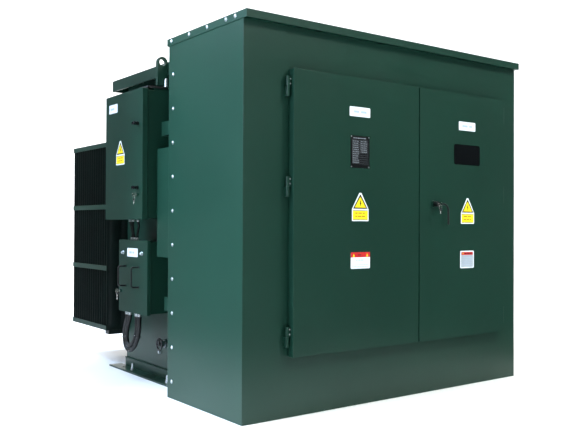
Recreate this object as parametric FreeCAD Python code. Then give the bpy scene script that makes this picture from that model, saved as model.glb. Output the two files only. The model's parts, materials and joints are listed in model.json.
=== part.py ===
"""Three-phase pad-mounted transformer, as an assembly of separate sub-parts.

Millimetres. +Z is up, +X to the right of someone facing the doors, and the doors face -Y.
The origin is the centre of the tank floor's underside, on the pad.
Each sub-part is written to parts/NODE.step.
"""
import FreeCAD, Part
import math
import os

V = FreeCAD.Vector

# ---- Driving dimensions: tank ---------------------------------------------------------------
tank_width = 1666.0
tank_depth = 983.0
tank_wall = 6.0
tank_floor = 10.0
rim_top = 1908.0              # top of the tank's bolting rim above the pad
rim_width = 60.0
rim_thickness = 12.0
gasket_thickness = 8.0
cover_thickness = 12.0
cover_overhang = 86.0         # tank wall to the face of the cover's skirt
cover_rear_overhang = 66.0
skirt_depth = 71.0
skirt_wall = 6.0
bulkhead_thickness = 12.0     # plate between tank and cabinet
bulkhead_edge_radius = 8.0
cover_bolt_pitch = 150.0
cover_bolt_radius = 8.0
bolt_head_radius = 12.0
bolt_head_height = 10.0
bolt_overrun = 22.0           # bolt end below the rim
nut_height = 13.0
washer_thickness = 3.0
hole_clearance = 0.5          # bolt or screw to its hole, on the radius
bulkhead_top_gap = 10.0       # bulkhead to the roof's top
angle_thickness = 5.0         # upright angle that the cabinet's sides are screwed to
angle_width = 73.0
angle_top_gap = 20.0

# Skids and their fasteners
skid_flange = 86.0
skid_thickness = 10.0
skid_web_height = 68.0
skid_overrun = 92.0           # skid past the rear of the tank
anchor_hole_radius = 11.0
anchor_first = 147.0          # bulkhead's front face to the first anchor hole
anchor_spacing = 790.0
stud_radius = 8.0
stud_places = (318.0, 802.0)  # from the bulkhead's front face
stud_height = 52.0
earth_bolt_place = (500.0, 163.0)     # from the bulkhead's front face and the pad
earth_bolt_height = 12.0


# Lifting lugs
lug_thickness = 24.0
lug_reach = 156.0
lug_eye_radius = 20.0
lug_outer_radius = 34.0
lug_eye_height = 1922.0
lug_bottom = 1784.0
lug_root_top = 1852.0
lug_from_bulkhead = 259.0
vent_plug_radius = 11.0       # plug on the front of each side lug
vent_plug_low = 1776.0
vent_plug_high = 1820.0
vent_plug_inset = 107.0       # from the tank's wall
rear_lug_spread = 1078.0

# ---- Driving dimensions: core and coils -----------------------------------------------------
core_limb = 200.0
core_pitch = 480.0
core_window_height = 800.0
core_floor_gap = 120.0
clamp_thickness = 30.0
clamp_height = 160.0
clamp_foot_width = 60.0
coil_end_gap = 25.0
lv_coil_inner = 146.0
lv_coil_outer = 178.0
hv_coil_inner = 188.0
hv_coil_outer = 228.0

# ---- Driving dimensions: radiators ----------------------------------------------------------
bank_count = 3
bank_width = 578.0
bank_pitch = 646.0
panel_count = 16
panel_pitch = 40.0
panel_thickness = 14.0
panel_sheet = 1.5
panel_bottom = 238.0
panel_top = 1520.0
radiator_gap = 104.0          # tank's rear wall to the first panel
header_radius = 38.0
header_wall = 4.0
header_end = 12.0             # header past the last panel
header_joint_gap = 40.0       # joint flange to the first panel
header_inset = 70.0           # header centre below the panel's top, and above its bottom
header_flange_radius = 70.0
header_flange_thickness = 16.0
strap_width = 32.0
strap_thickness = 4.0
bank_foot = (61.0, 28.0)      # depth and height of the support under each bank's first panels
strap_levels = (238.0, 645.0, 1062.0, 1488.0)

# ---- Driving dimensions: bulkhead fittings, placed from the tank's side and the pad ------
hv_bushing_places = ((124.0, 1120.0), (354.0, 1120.0), (584.0, 1120.0))
lv_bushing_places = ((94.0, 1150.0), (244.0, 1150.0), (394.0, 1150.0), (544.0, 1150.0))
bushing_flange = 62.0
bushing_flange_depth = 14.0
bushing_hole = 46.0
bushing_inside_length = 90.0  # bushing behind the bulkhead
hv_body_radii = (44.0, 34.0)
hv_body_length = 120.0
hv_collar_radius = 40.0
hv_collar_length = 12.0
hv_nose_radii = (26.0, 21.0)
hv_nose_length = 44.0
shed_radii = (34.0, 46.0)     # neck and shed, in turn
shed_length = 22.0
shed_count = 4
spade_width = 90.0
spade_length = 120.0
spade_thickness = 14.0
spade_edge = 24.0
spade_hole_spacing = 44.5
spade_hole_radius = 7.2
gauge_radius = 55.0
gauge_depth = 36.0
gauge_bezel = 5.0
gauge_well = 12.0             # dial below the bezel's face
gauge_post_radius = 3.0
gauge_post_length = 9.0
pointer_hub_radius = 7.0
pointer_thickness = 3.0
pointer_width = 4.0
pointer_tail = 14.0
level_gauge_place = (84.0, 1500.0)
thermometer_place = (194.0, 1500.0)
level_angle = -40.0
temperature_angle = -70.0
switch_place = (324.0, 1480.0)
tap_place = (614.0, 1480.0)
operator_flange_radius = 48.0
operator_flange_depth = 12.0
operator_neck_radius = 22.0
operator_neck_length = 30.0
operator_bore = 10.0
crank_hub_radius = 24.0
crank_hub_depth = 14.0
crank_thickness = 12.0
crank_width = 22.0
crank_eye_radius = 10.0
switch_arm = 110.0
tap_arm = 75.0
relief_place = (354.0, 1660.0)
relief_hex_radius = 22.0
relief_hex_depth = 14.0
relief_cap_radius = 14.0
relief_cap_depth = 40.0
relief_stem_radius = 5.0
relief_ring_radius = 14.0
relief_ring_wire = 2.5

# ---- Driving dimensions: cabinet and doors --------------------------------------------------
cabinet_width = 2078.0
cabinet_depth = 753.0
sheet = 3.0
roof_rise = 33.0              # tank cover's top to the lower edge of the roof's flange
roof_height = 39.0
roof_front_overhang = 33.0
roof_side_clearance = 1.0
roof_rear_overhang = 23.0
roof_lip = 28.0
door_left_margin = 271.0
door_right_margin = 162.0
door_bottom = 305.0
door_top_margin = 215.0       # door's top edge to the roof's flange
left_door_width = 887.0
door_gap = 8.0
door_depth = 42.0
door_corner = 3.0
door_standoff = 3.0           # door's rear edge to the frame's face
frame_cover = 15.0            # how far the doors reach over the edge of the frame's opening
hinge_offset = 19.0           # door's side to the hinge's axis
hinge_setback = 20.0          # cabinet's face to the hinge's axis
hinge_radius = 9.0
hinge_length = 100.0
hinge_pin_radius = 4.0
hinge_foot_width = 16.0
hinge_leaf_thickness = 6.0
hinge_leaf_gap = 1.0          # between the two halves of a hinge
running_clearance = 0.05
hinge_heights = (355.0, 1105.0, 1605.0)
screw_radius = 4.0
dome_radius = 9.0
dome_height = 5.0
side_screw_count = 10
side_screw_first = 94.0
side_screw_pitch = 189.0
side_screw_inset = 43.0
roof_screw_places = (69.0, 154.0, 338.0, 526.0, 726.0)
roof_screw_height = 22.0
barrier_front_gap = 40.0
plate_thickness = 1.2
window_corner = 14.0
# Each plate: offset of its centre from the door's, bottom, width, height
left_door_labels = ((-4.0, 1539.0, 145.0, 51.0), (-2.0, 1267.0, 134.0, 170.0),
                    (2.0, 733.0, 136.0, 87.0))
left_door_sign = (0.0, 985.0, 118.0, 150.0)
right_door_labels = ((28.0, 1529.0, 147.0, 52.0), (29.0, 709.0, 122.0, 103.0))
right_door_window = (28.0, 1324.0, 232.0, 120.0)
right_door_sign = (33.0, 973.0, 118.0, 153.0)
sign_shoulder = 0.42          # share of a sign's height where its triangle starts
sign_tip = 9.0                # half the width of the triangle's cut-off top

# Door lock: the hub is at (lock_inset, lock_height) from the right door's free edge and the pad
lock_inset = 113.0
lock_height = 1086.0
lock_boss_radius = 21.0
lock_boss_height = 10.0
handle_hub_radius = 16.0
handle_hub_depth = 28.0
handle_arm = 100.0
handle_drop = 118.0
handle_rod_radius = 6.0
hub_gap = 0.5                 # hub to the boss
spindle_radius = 7.0
cam_length = 44.0
cam_height = 18.0
cam_thickness = 6.0
cam_behind_door = 8.0
cam_pin_radius = 4.0
cam_pin_length = 14.0
latch_rod_radius = 6.0
latch_rod_offset = 38.0
latch_rod_gap = 3.0           # cam to the rods
latch_root = 20.0             # lock's centre to the near end of each rod
latch_tip_gap = 3.0

# Keys, all alike
key_radius = 4.0
key_insert = 14.0
key_neck = 3.0
key_bow_radius = 12.0
key_thickness = 2.4
key_ring_wire = 1.0
spare_bow_radius = 10.0
spare_drop = 32.0
spare_shank = 16.0

# ---- Driving dimensions: side equipment -----------------------------------------------------
control_start = 233.0         # bulkhead's front face to the control box
control_width = 524.0
control_bottom = 991.0
control_height = 768.0
control_body_depth = 220.0
control_door_depth = 32.0
box_door_gap = 4.0
box_lip = 5.0
box_corner = 6.0
hood_thickness = 9.0
knob_inset = 58.0
knob_heights = (563.0, 187.0)
knob_radius = 19.0
knob_depth = 34.0
knob_neck_radius = 11.0
knob_shaft_radius = 6.0
knob_shaft_length = 16.0
knob_cam_drop = 34.0
lock_radius = 11.0
lock_length = 10.0
key_drop = 42.0
box_hinge_radius = 7.0
box_hinge_pin_radius = 3.5
box_hinge_length = 38.0
box_hinge_setback = 8.0       # hinge's axis ahead of the door's rear edge
box_hinge_offset = 12.0       # hinge's axis beside the door
box_hinge_places = (110.0, 578.0)
box_inset = 2.0               # box's lip inside the outline of its door
hood_gap = 4.0
hood_collar_setback = 40.0
control_sign_place = (305.0, 334.0, 120.0, 146.0)    # along, up, width, height
control_label_place = (411.5, 660.0, 122.0, 54.0)
gland_hole_clearance = 3.0
control_glands = (318.0, 384.0, 430.0)
junction_glands = (330.0, 365.0, 400.0)
gland_setback = 130.0         # tank wall to the row of glands
gland_length = 20.0
terminal_rows = (150.0, 360.0, 570.0)
terminal_count = 9
terminal_pitch = 43.0
terminal_width = 38.0
terminal_height = 80.0
terminal_depth = 60.0
rail_height = 34.0
rail_depth = 8.0
back_plate_thickness = 4.0
back_plate_gap = 4.0
junction_start = 265.0
junction_width = 394.0
junction_bottom = 424.0
junction_height = 442.0
junction_body_depth = 181.0
junction_cover_depth = 22.0
junction_cover_gap = 3.0
u_handle_height = 120.0
u_handle_standoff = 48.0
u_handle_radius = 5.0
u_handle_bend = 14.0
u_handle_places = (116.0, 297.0)
u_handle_bottom = 161.0
u_handle_foot_radius = 9.0
u_handle_foot_thickness = 3.0
junction_lock_inset = (30.0, 125.0)                  # from the rear edge, from the bottom
cover_nut_places = (71.0, 331.0)
cover_nut_drop = 79.0
cover_nut_radius = 10.0
duct_width = 175.0
duct_bottom = 775.0
duct_height = 625.0
duct_depth = 184.0
bracket_depth = 156.0
bracket_thickness = 6.0
brackets = ((466.0, 78.0, 133.0), (1478.0, 80.0, 178.0))   # bottom, height, width
ground_pad_place = (240.0, 165.0)
ground_pad_height = 90.0
ground_pad_width = 50.0
ground_pad_thickness = 10.0
ground_pad_hole = 6.5
ground_pad_spacing = 44.0
valve_place = (362.0, 236.0)
valve_reach = 62.0
valve_branch = 62.0
valve_radius = 17.0
valve_flange_radius = 30.0
valve_stem_radius = 6.0
wheel_radius = 34.0
wheel_wire = 5.0
wheel_standoff = 14.0
conduit_radius = 13.0
conduit_gland_radius = 17.5
conduit_gland_length = 33.0
cable_radius = 7.0

# ---- Derived places -------------------------------------------------------------------------
tank_left = -tank_width / 2
tank_right = tank_width / 2
tank_front = -tank_depth / 2           # bulkhead's front face
tank_rear = tank_depth / 2
bulkhead_back = tank_front + bulkhead_thickness
cover_top = rim_top + gasket_thickness + cover_thickness
roof_bottom = cover_top + roof_rise
roof_top = roof_bottom + roof_height
cabinet_left = -cabinet_width / 2
cabinet_right = cabinet_width / 2
cabinet_front = tank_front - cabinet_depth
door_top = roof_bottom - door_top_margin
door_back = cabinet_front - door_standoff
door_front = door_back - door_depth
left_door_left = cabinet_left + door_left_margin
left_door_right = left_door_left + left_door_width
right_door_left = left_door_right + door_gap
right_door_right = cabinet_right - door_right_margin
split_x = (left_door_right + right_door_left) / 2
hinge_y = cabinet_front - hinge_setback
lock_x = right_door_left + lock_inset
control_front_y = tank_front + control_start
control_rear_y = control_front_y + control_width
control_mouth = tank_left - control_body_depth
control_door_x = control_mouth - box_door_gap - control_door_depth
control_top = control_bottom + control_height
knob_y = control_front_y + knob_inset
junction_front_y = tank_front + junction_start
junction_rear_y = junction_front_y + junction_width
junction_mouth = tank_left - junction_body_depth
junction_cover_x = junction_mouth - junction_cover_gap - junction_cover_depth
junction_top = junction_bottom + junction_height


# ---- Shape helpers --------------------------------------------------------------------------
def box(x0, x1, y0, y1, z0, z1):
    return Part.makeBox(x1 - x0, y1 - y0, z1 - z0, V(x0, y0, z0))


def rod(start, direction, radius, length):
    return Part.makeCylinder(radius, length, V(*start), V(*direction))


def rounded(shape, axis, radius):
    """Round the edges of a box that run along an axis (0 X, 1 Y, 2 Z)."""
    chosen = []
    for edge in shape.Edges:
        step = edge.Vertexes[1].Point - edge.Vertexes[0].Point
        if abs(abs(step[axis]) - step.Length) < 1e-6:
            chosen.append(edge)
    return shape.makeFillet(radius, chosen)


def hexagon(start, direction, radius, length):
    """A hexagonal prism whose corners lie on the radius."""
    axis = V(*direction)
    side = V(0, 0, 1) if abs(axis.z) < 0.5 else V(1, 0, 0)
    other = axis.cross(side)
    points = []
    for i in range(7):
        angle = i * math.pi / 3
        points.append(V(*start) + side * radius * math.cos(angle) + other * radius * math.sin(angle))
    return Part.Face(Part.makePolygon(points)).extrude(axis * length)


def dome(centre, direction, radius, height):
    """A shallow dome that stands on a face."""
    ball_radius = (radius * radius + height * height) / (2 * height)
    axis = V(*direction)
    ball = Part.makeSphere(ball_radius, V(*centre) + axis * (height - ball_radius))
    return ball.common(rod(centre, direction, radius * 1.01, height * 1.5))


def ring(centre, direction, radius, thickness):
    return Part.makeTorus(radius, thickness, V(*centre), V(*direction))


def plate(points, thickness, direction):
    """A flat plate from its outline and its thickness along a direction."""
    closed = [V(*p) for p in points] + [V(*points[0])]
    return Part.Face(Part.makePolygon(closed)).extrude(V(*direction) * thickness)


def pan(x0, x1, y0, y1, z0, z1, wall, mouth, corner):
    """A folded sheet pan with rounded corners, open on one side ("+y" or "+x")."""
    outer = box(x0, x1, y0, y1, z0, z1)
    if mouth == "+y":
        outer = rounded(outer, 1, corner)
        inner = box(x0 + wall, x1 - wall, y0 + wall, y1 + 1, z0 + wall, z1 - wall)
        return outer.cut(inner)
    outer = rounded(outer, 0, corner)
    inner = box(x0 + wall, x1 + 1, y0 + wall, y1 - wall, z0 + wall, z1 - wall)
    return outer.cut(inner)


def tube(points, radius):
    """A round tube on straight runs joined by tangent arcs, nearly as large as the runs allow."""
    points = [V(*p) for p in points]
    edges = []
    at = points[0]
    for before, corner, after in zip(points, points[1:], points[2:]):
        back = (before - corner).normalize()
        ahead = (after - corner).normalize()
        shorter = min((before - corner).Length, (after - corner).Length)
        reach = 0.45 * shorter
        half_turn = (math.pi - back.getAngle(ahead)) / 2
        bend = reach / math.tan(half_turn)
        start = corner + back * reach
        end = corner + ahead * reach
        middle_way = (back + ahead).normalize()
        middle = corner + middle_way * (bend / math.cos(half_turn) - bend)
        edges.append(Part.LineSegment(at, start).toShape())
        edges.append(Part.Arc(start, middle, end).toShape())
        at = end
    edges.append(Part.LineSegment(at, points[-1]).toShape())
    path = Part.Wire(edges)
    along = (points[1] - points[0]).normalize()
    section = Part.Wire([Part.makeCircle(radius, points[0], along)])
    return path.makePipeShell([section], True, True)


def fused(shapes):
    whole = shapes[0].fuse(shapes[1:]) if len(shapes) > 1 else shapes[0]
    return whole.removeSplitter()


def bored(shape, tools):
    """The shape with holes cut through it."""
    return shape.cut(Part.makeCompound(tools))


def mirrored(shape):
    """The same piece on the other side of the middle plane."""
    return shape.mirror(V(0, 0, 0), V(1, 0, 0))


def both_sides(shapes):
    return shapes + [mirrored(s) for s in shapes]


def write(name, shapes):
    """Write one sub-part, as one solid or as a group of separate solids."""
    if not isinstance(shapes, list):
        shapes = [shapes]
    solids = [solid for shape in shapes for solid in shape.Solids]
    for solid in solids:
        if not solid.isValid():
            print("not valid:", name)
    whole = solids[0] if len(solids) == 1 else Part.makeCompound(solids)
    whole.exportStep(os.path.join("parts", name + ".step"))


def spread(first, last, pitch):
    """Even places between two ends, near a pitch."""
    steps = max(1, round((last - first) / pitch))
    return [first + (last - first) * i / steps for i in range(steps + 1)]


# ---- Tank -----------------------------------------------------------------------------------
rim_line = rim_width * 0.6             # bolt line outside the tank wall


def cover_bolt_places():
    """The bolt circle of the tank cover: both sides, the rear and the bulkhead."""
    rear_y = tank_rear + rim_line
    front_y = bulkhead_back + rim_line
    left_x = tank_left - rim_line
    places = []
    for y in spread(front_y, rear_y, cover_bolt_pitch):
        places += [(left_x, y), (-left_x, y)]
    for x in spread(left_x, -left_x, cover_bolt_pitch)[1:-1]:
        places += [(x, rear_y), (x, front_y)]
    return places


def bolt_holes(z0, z1):
    return [rod((x, y, z0 - 1), (0, 0, 1), cover_bolt_radius + hole_clearance, z1 - z0 + 2)
            for x, y in cover_bolt_places()]


def make_tank():
    rim_bottom = rim_top - rim_thickness
    left = box(tank_left, tank_left + tank_wall, bulkhead_back, tank_rear, tank_floor, rim_top)
    rear = box(tank_left + tank_wall, tank_right - tank_wall, tank_rear - tank_wall, tank_rear,
               tank_floor, rim_top)
    floor = box(tank_left, tank_right, bulkhead_back, tank_rear, 0, tank_floor)
    outer_left = tank_left - rim_width
    side_rim = box(outer_left, tank_left, bulkhead_back, tank_rear + rim_width, rim_bottom, rim_top)
    rear_rim = box(tank_left, tank_right, tank_rear, tank_rear + rim_width, rim_bottom, rim_top)
    front_rim = box(tank_left + tank_wall, tank_right - tank_wall, bulkhead_back,
                    bulkhead_back + rim_width, rim_bottom, rim_top)
    holes = bolt_holes(rim_bottom, rim_top)
    rims = [bored(r, holes) for r in both_sides([side_rim]) + [rear_rim, front_rim]]
    header_holes = [rod((x, tank_rear - tank_wall - 1, z), (0, 1, 0), header_radius - header_wall,
                        tank_wall + 2) for x in bank_centres() for z in header_heights()]
    write("tank_body", both_sides([left]) + [bored(rear, header_holes), floor] + rims)

    ring_outer = box(outer_left, -outer_left, bulkhead_back, tank_rear + rim_width, rim_top,
                     rim_top + gasket_thickness)
    ring_inner = box(tank_left + tank_wall, tank_right - tank_wall, bulkhead_back + rim_width,
                     tank_rear - tank_wall, rim_top - 1, cover_top)
    write("cover_gasket", bored(ring_outer.cut(ring_inner), bolt_holes(rim_top, cover_top)))

    skirt_x = tank_left - cover_overhang
    skirt_y = tank_rear + cover_rear_overhang
    cover = box(skirt_x, -skirt_x, bulkhead_back, skirt_y, cover_top - skirt_depth, cover_top)
    hollow = box(skirt_x + skirt_wall, -skirt_x - skirt_wall, bulkhead_back - 1,
                 skirt_y - skirt_wall, cover_top - skirt_depth - 1, cover_top - cover_thickness)
    write("tank_cover", bored(cover.cut(hollow), bolt_holes(cover_top - cover_thickness, cover_top)))

    bolts = []
    for x, y in cover_bolt_places():
        shank = rod((x, y, rim_bottom - bolt_overrun), (0, 0, 1), cover_bolt_radius,
                    cover_top - rim_bottom + bolt_overrun)
        head = hexagon((x, y, cover_top), (0, 0, 1), bolt_head_radius, bolt_head_height)
        nut = hexagon((x, y, rim_bottom - nut_height), (0, 0, 1), bolt_head_radius, nut_height)
        bolts.append(fused([shank, head, nut]))
    for y in stud_places:
        x = skid_hole_x()
        stud = rod((x, tank_front + y, 0), (0, 0, 1), stud_radius, stud_height)
        nut = hexagon((x, tank_front + y, skid_thickness + washer_thickness), (0, 0, 1),
                      bolt_head_radius, nut_height)
        washer = rod((x, tank_front + y, skid_thickness), (0, 0, 1), bolt_head_radius * 1.25,
                     washer_thickness)
        bolts += both_sides([fused([stud, nut, washer])])
    earth_y, earth_z = tank_front + earth_bolt_place[0], earth_bolt_place[1]
    washer = rod((tank_left, earth_y, earth_z), (-1, 0, 0), bolt_head_radius, washer_thickness)
    head = hexagon((tank_left, earth_y, earth_z), (-1, 0, 0), bolt_head_radius * 0.8,
                   earth_bolt_height)
    bolts += both_sides([fused([washer, head])])
    bolts += both_sides([vent_plug()])
    write("tank_bolts", bolts)


def vent_plug():
    """A round-ended plug that stands off the front face of the left lug."""
    x = tank_left - vent_plug_inset
    face = tank_front + lug_from_bulkhead - lug_thickness / 2
    y = face - vent_plug_radius * 1.5
    stem = rod((x, face, lug_bottom + 14), (0, -1, 0), vent_plug_radius * 0.6, vent_plug_radius)
    body = rod((x, y, vent_plug_low), (0, 0, 1), vent_plug_radius, vent_plug_high - vent_plug_low)
    ends = [dome((x, y, vent_plug_low), (0, 0, -1), vent_plug_radius, 6),
            dome((x, y, vent_plug_high), (0, 0, 1), vent_plug_radius, 6)]
    return fused([stem, body] + ends)


def skid_hole_x():
    return tank_left - skid_flange * 0.5


def make_skids():
    flange = box(tank_left - skid_flange, tank_left, bulkhead_back, tank_rear + skid_overrun,
                 0, skid_thickness)
    web = box(tank_left - skid_thickness, tank_left, bulkhead_back, tank_rear,
              0, skid_web_height)
    holes = [rod((skid_hole_x(), tank_front + anchor_first + i * anchor_spacing, -1), (0, 0, 1),
                 anchor_hole_radius, skid_thickness + 2) for i in (0, 1)]
    holes += [rod((skid_hole_x(), tank_front + y, -1), (0, 0, 1), stud_radius + hole_clearance,
                  skid_thickness + 2) for y in stud_places]
    write("base_skids", both_sides([bored(fused([flange, web]), holes)]))


def lug_outline(reach_from, outward):
    """The lug's outline as (distance along the reach, height) points before the round top."""
    tip = reach_from + outward * lug_reach
    eye = tip - outward * lug_outer_radius
    inner = tip - outward * 2 * lug_outer_radius
    return tip, eye, inner


def make_lugs():
    lugs = []
    tip, eye, inner = lug_outline(tank_left, -1)
    y = tank_front + lug_from_bulkhead - lug_thickness / 2
    foot = box(tip, tank_left, y, y + lug_thickness, lug_bottom, lug_root_top)
    neck = box(tip, inner, y, y + lug_thickness, lug_bottom, lug_eye_height)
    crown = rod((eye, y, lug_eye_height), (0, 1, 0), lug_outer_radius, lug_thickness)
    hole = rod((eye, y - 1, lug_eye_height), (0, 1, 0), lug_eye_radius, lug_thickness + 2)
    lugs += both_sides([fused([foot, neck, crown]).cut(hole)])
    tip, eye, inner = lug_outline(tank_rear, 1)
    x = -rear_lug_spread / 2 - lug_thickness / 2
    foot = box(x, x + lug_thickness, tank_rear, tip, lug_bottom, lug_root_top)
    neck = box(x, x + lug_thickness, inner, tip, lug_bottom, lug_eye_height)
    crown = rod((x, eye, lug_eye_height), (1, 0, 0), lug_outer_radius, lug_thickness)
    hole = rod((x - 1, eye, lug_eye_height), (1, 0, 0), lug_eye_radius, lug_thickness + 2)
    lugs += both_sides([fused([foot, neck, crown]).cut(hole)])
    write("lifting_lugs", lugs)


# ---- Core and coils -------------------------------------------------------------------------
def make_core():
    half = core_pitch + core_limb / 2
    depth = core_limb / 2
    bottom = core_floor_gap
    top = bottom + core_window_height + 2 * core_limb
    window_low = bottom + core_limb
    window_high = window_low + core_window_height
    core = box(-half, half, -depth, depth, bottom, top)
    for side in (-1, 1):
        centre = side * core_pitch / 2
        reach = (core_pitch - core_limb) / 2
        core = core.cut(box(centre - reach, centre + reach, -depth - 1, depth + 1,
                            window_low, window_high))
    write("core_laminations", core)

    clamps = []
    for z in (bottom, top - clamp_height):
        for y in (-depth - clamp_thickness, depth):
            clamps.append(box(-half, half, y, y + clamp_thickness, z, z + clamp_height))
    for x in (-half, half - clamp_foot_width):
        foot = box(x, x + clamp_foot_width, -depth - clamp_thickness, depth + clamp_thickness,
                   tank_floor, bottom)
        clamps.append(foot)
    write("core_clamps", clamps)

    def coils(inner, outer):
        low = window_low + coil_end_gap
        length = core_window_height - 2 * coil_end_gap
        made = []
        for i in (-1, 0, 1):
            start = (i * core_pitch, 0, low)
            made.append(rod(start, (0, 0, 1), outer, length).cut(rod(start, (0, 0, 1), inner, length)))
        return made

    write("lv_coils", coils(lv_coil_inner, lv_coil_outer))
    write("hv_coils", coils(hv_coil_inner, hv_coil_outer))


# ---- Radiators ------------------------------------------------------------------------------
def bank_centres():
    return [(i - (bank_count - 1) / 2) * bank_pitch for i in range(bank_count)]


def header_heights():
    return (panel_bottom + header_inset, panel_top - header_inset)


def make_radiators():
    first = tank_rear + radiator_gap
    last = first + (panel_count - 1) * panel_pitch + panel_thickness
    panels, headers, straps = [], [], []
    for centre in bank_centres():
        left = centre - bank_width / 2
        bores = [rod((centre, first - 1, z), (0, 1, 0), header_radius, last - first + 2)
                 for z in header_heights()]
        for i in range(panel_count):
            y = first + i * panel_pitch
            panel = rounded(box(left, left + bank_width, y, y + panel_thickness,
                                panel_bottom, panel_top), 2, panel_thickness * 0.45)
            oil_way = box(left + panel_thickness, left + bank_width - panel_thickness,
                          y + panel_sheet, y + panel_thickness - panel_sheet,
                          panel_bottom + panel_thickness, panel_top - panel_thickness)
            panels.append(bored(panel, [oil_way] + bores))
        for z in header_heights():
            pipe = rod((centre, tank_rear, z), (0, 1, 0), header_radius,
                       last + header_end - tank_rear)
            flange = rod((centre, tank_rear, z), (0, 1, 0), header_flange_radius,
                         header_flange_thickness)
            joint = rod((centre, first - header_joint_gap, z), (0, 1, 0), header_flange_radius,
                        header_flange_thickness)
            headers.append(fused([pipe, flange, joint]))
        foot_depth, foot_height = bank_foot
        headers.append(box(left + strap_width / 2, left + bank_width - strap_width / 2, first,
                           first + foot_depth, panel_bottom - foot_height, panel_bottom))
        for x in (left - strap_thickness, left + bank_width):
            for z in strap_levels:
                straps.append(box(x, x + strap_thickness, first, last, z, z + strap_width))
    write("radiator_panels", panels)
    write("radiator_headers", headers)
    write("radiator_straps", straps)


# ---- Bulkhead and what it carries -----------------------------------------------------------
def from_left(place):
    return tank_left + place[0], place[1]


def from_right(place):
    return tank_right - place[0], place[1]


def make_bulkhead():
    body = box(cabinet_left, cabinet_right, tank_front, bulkhead_back, 0,
               roof_top - bulkhead_top_gap)
    back_edges = [e for e in body.Edges
                  if all(abs(v.Point.y - bulkhead_back) < 1e-6 for v in e.Vertexes)
                  and abs(e.Vertexes[0].Point.x - e.Vertexes[1].Point.x) < 1e-6]
    body = body.makeFillet(bulkhead_edge_radius, back_edges)
    holes = [rod((x, tank_front - 1, z), (0, 1, 0), bushing_hole, bulkhead_thickness + 2)
             for x, z in [from_left(p) for p in hv_bushing_places]
             + [from_right(p) for p in lv_bushing_places]]
    angle_left = box(cabinet_left + sheet, cabinet_left + sheet + angle_thickness,
                     tank_front - angle_width, tank_front, 0, roof_bottom - angle_top_gap)
    screw_holes = [rod((cabinet_left, tank_front - side_screw_inset, z), (1, 0, 0),
                       screw_radius + hole_clearance, 20) for z in side_screw_heights()]
    write("tank_front_plate", [bored(body, holes)] + both_sides([bored(angle_left, screw_holes)]))


def side_screw_heights():
    return [side_screw_first + i * side_screw_pitch for i in range(side_screw_count)]


def bushing_root(x, z):
    """The flange on the bulkhead and the part behind it, which all bushings share."""
    return [rod((x, tank_front, z), (0, -1, 0), bushing_flange, bushing_flange_depth),
            rod((x, tank_front, z), (0, 1, 0), bushing_hole - 1, bushing_inside_length)]


def hv_bushing(x, z):
    """A moulded bushing well: a tapered body, a collar and a tapered nose."""
    body_y = tank_front - bushing_flange_depth
    collar_y = body_y - hv_body_length
    nose_y = collar_y - hv_collar_length
    body = Part.makeCone(*hv_body_radii, hv_body_length, V(x, body_y, z), V(0, -1, 0))
    collar = rod((x, collar_y, z), (0, -1, 0), hv_collar_radius, hv_collar_length)
    nose = Part.makeCone(*hv_nose_radii, hv_nose_length, V(x, nose_y, z), V(0, -1, 0))
    return fused(bushing_root(x, z) + [body, collar, nose])


def spade_root():
    """The plane where a low-voltage bushing's spade starts."""
    return tank_front - bushing_flange_depth - shed_count * shed_length


def lv_bushing(x, z):
    """A shedded bushing that ends in a flat four-hole spade."""
    sheds = [rod((x, tank_front - bushing_flange_depth - shed_length * i, z), (0, -1, 0),
                 shed_radii[i % 2], shed_length) for i in range(shed_count)]
    root = spade_root()
    spade = box(x - spade_width / 2, x + spade_width / 2, root - spade_length, root,
                z - spade_thickness / 2, z + spade_thickness / 2)
    first = root - spade_length + spade_edge
    holes = [rod((x + side * spade_hole_spacing / 2, first + i * spade_hole_spacing,
                  z - spade_thickness), (0, 0, 1), spade_hole_radius, 2 * spade_thickness)
             for side in (-1, 1) for i in (0, 1)]
    return bored(fused(bushing_root(x, z) + [spade] + sheds), holes)


def make_bushings():
    write("hv_bushings", [hv_bushing(*from_left(p)) for p in hv_bushing_places])
    write("lv_bushings", [lv_bushing(*from_right(p)) for p in lv_bushing_places])


def gauge_case(x, z):
    """A round dial case, open at its face so that the pointer sits inside the bezel."""
    dial_y = tank_front - gauge_depth + gauge_well
    case = rod((x, tank_front, z), (0, -1, 0), gauge_radius, gauge_depth)
    well = rod((x, dial_y, z), (0, -1, 0), gauge_radius - gauge_bezel, gauge_well + 1)
    post = rod((x, dial_y, z), (0, -1, 0), gauge_post_radius, gauge_post_length)
    return case.cut(well).fuse(post)


def gauge_pointer(x, z, angle):
    """A pointer on the dial's post, with its tip at an angle from straight up."""
    y = tank_front - gauge_depth + gauge_well - 4
    half = pointer_width / 2
    hub = rod((x, y, z), (0, -1, 0), pointer_hub_radius, pointer_thickness)
    arm = box(x - half, x + half, y - pointer_thickness, y, z - pointer_tail,
              z + gauge_radius - gauge_well)
    arm.rotate(V(x, y, z), V(0, 1, 0), angle)
    bore = rod((x, y + 1, z), (0, -1, 0), gauge_post_radius + running_clearance,
               pointer_thickness + 2)
    return fused([hub, arm]).cut(bore)


def operator_neck(x, z):
    """The bored boss on the bulkhead that a hook-stick handle turns in."""
    flange = rod((x, tank_front, z), (0, -1, 0), operator_flange_radius, operator_flange_depth)
    neck = rod((x, tank_front - operator_flange_depth, z), (0, -1, 0), operator_neck_radius,
               operator_neck_length)
    return fused([flange, neck]).cut(rod((x, tank_front, z), (0, -1, 0), operator_bore, 60))


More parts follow.
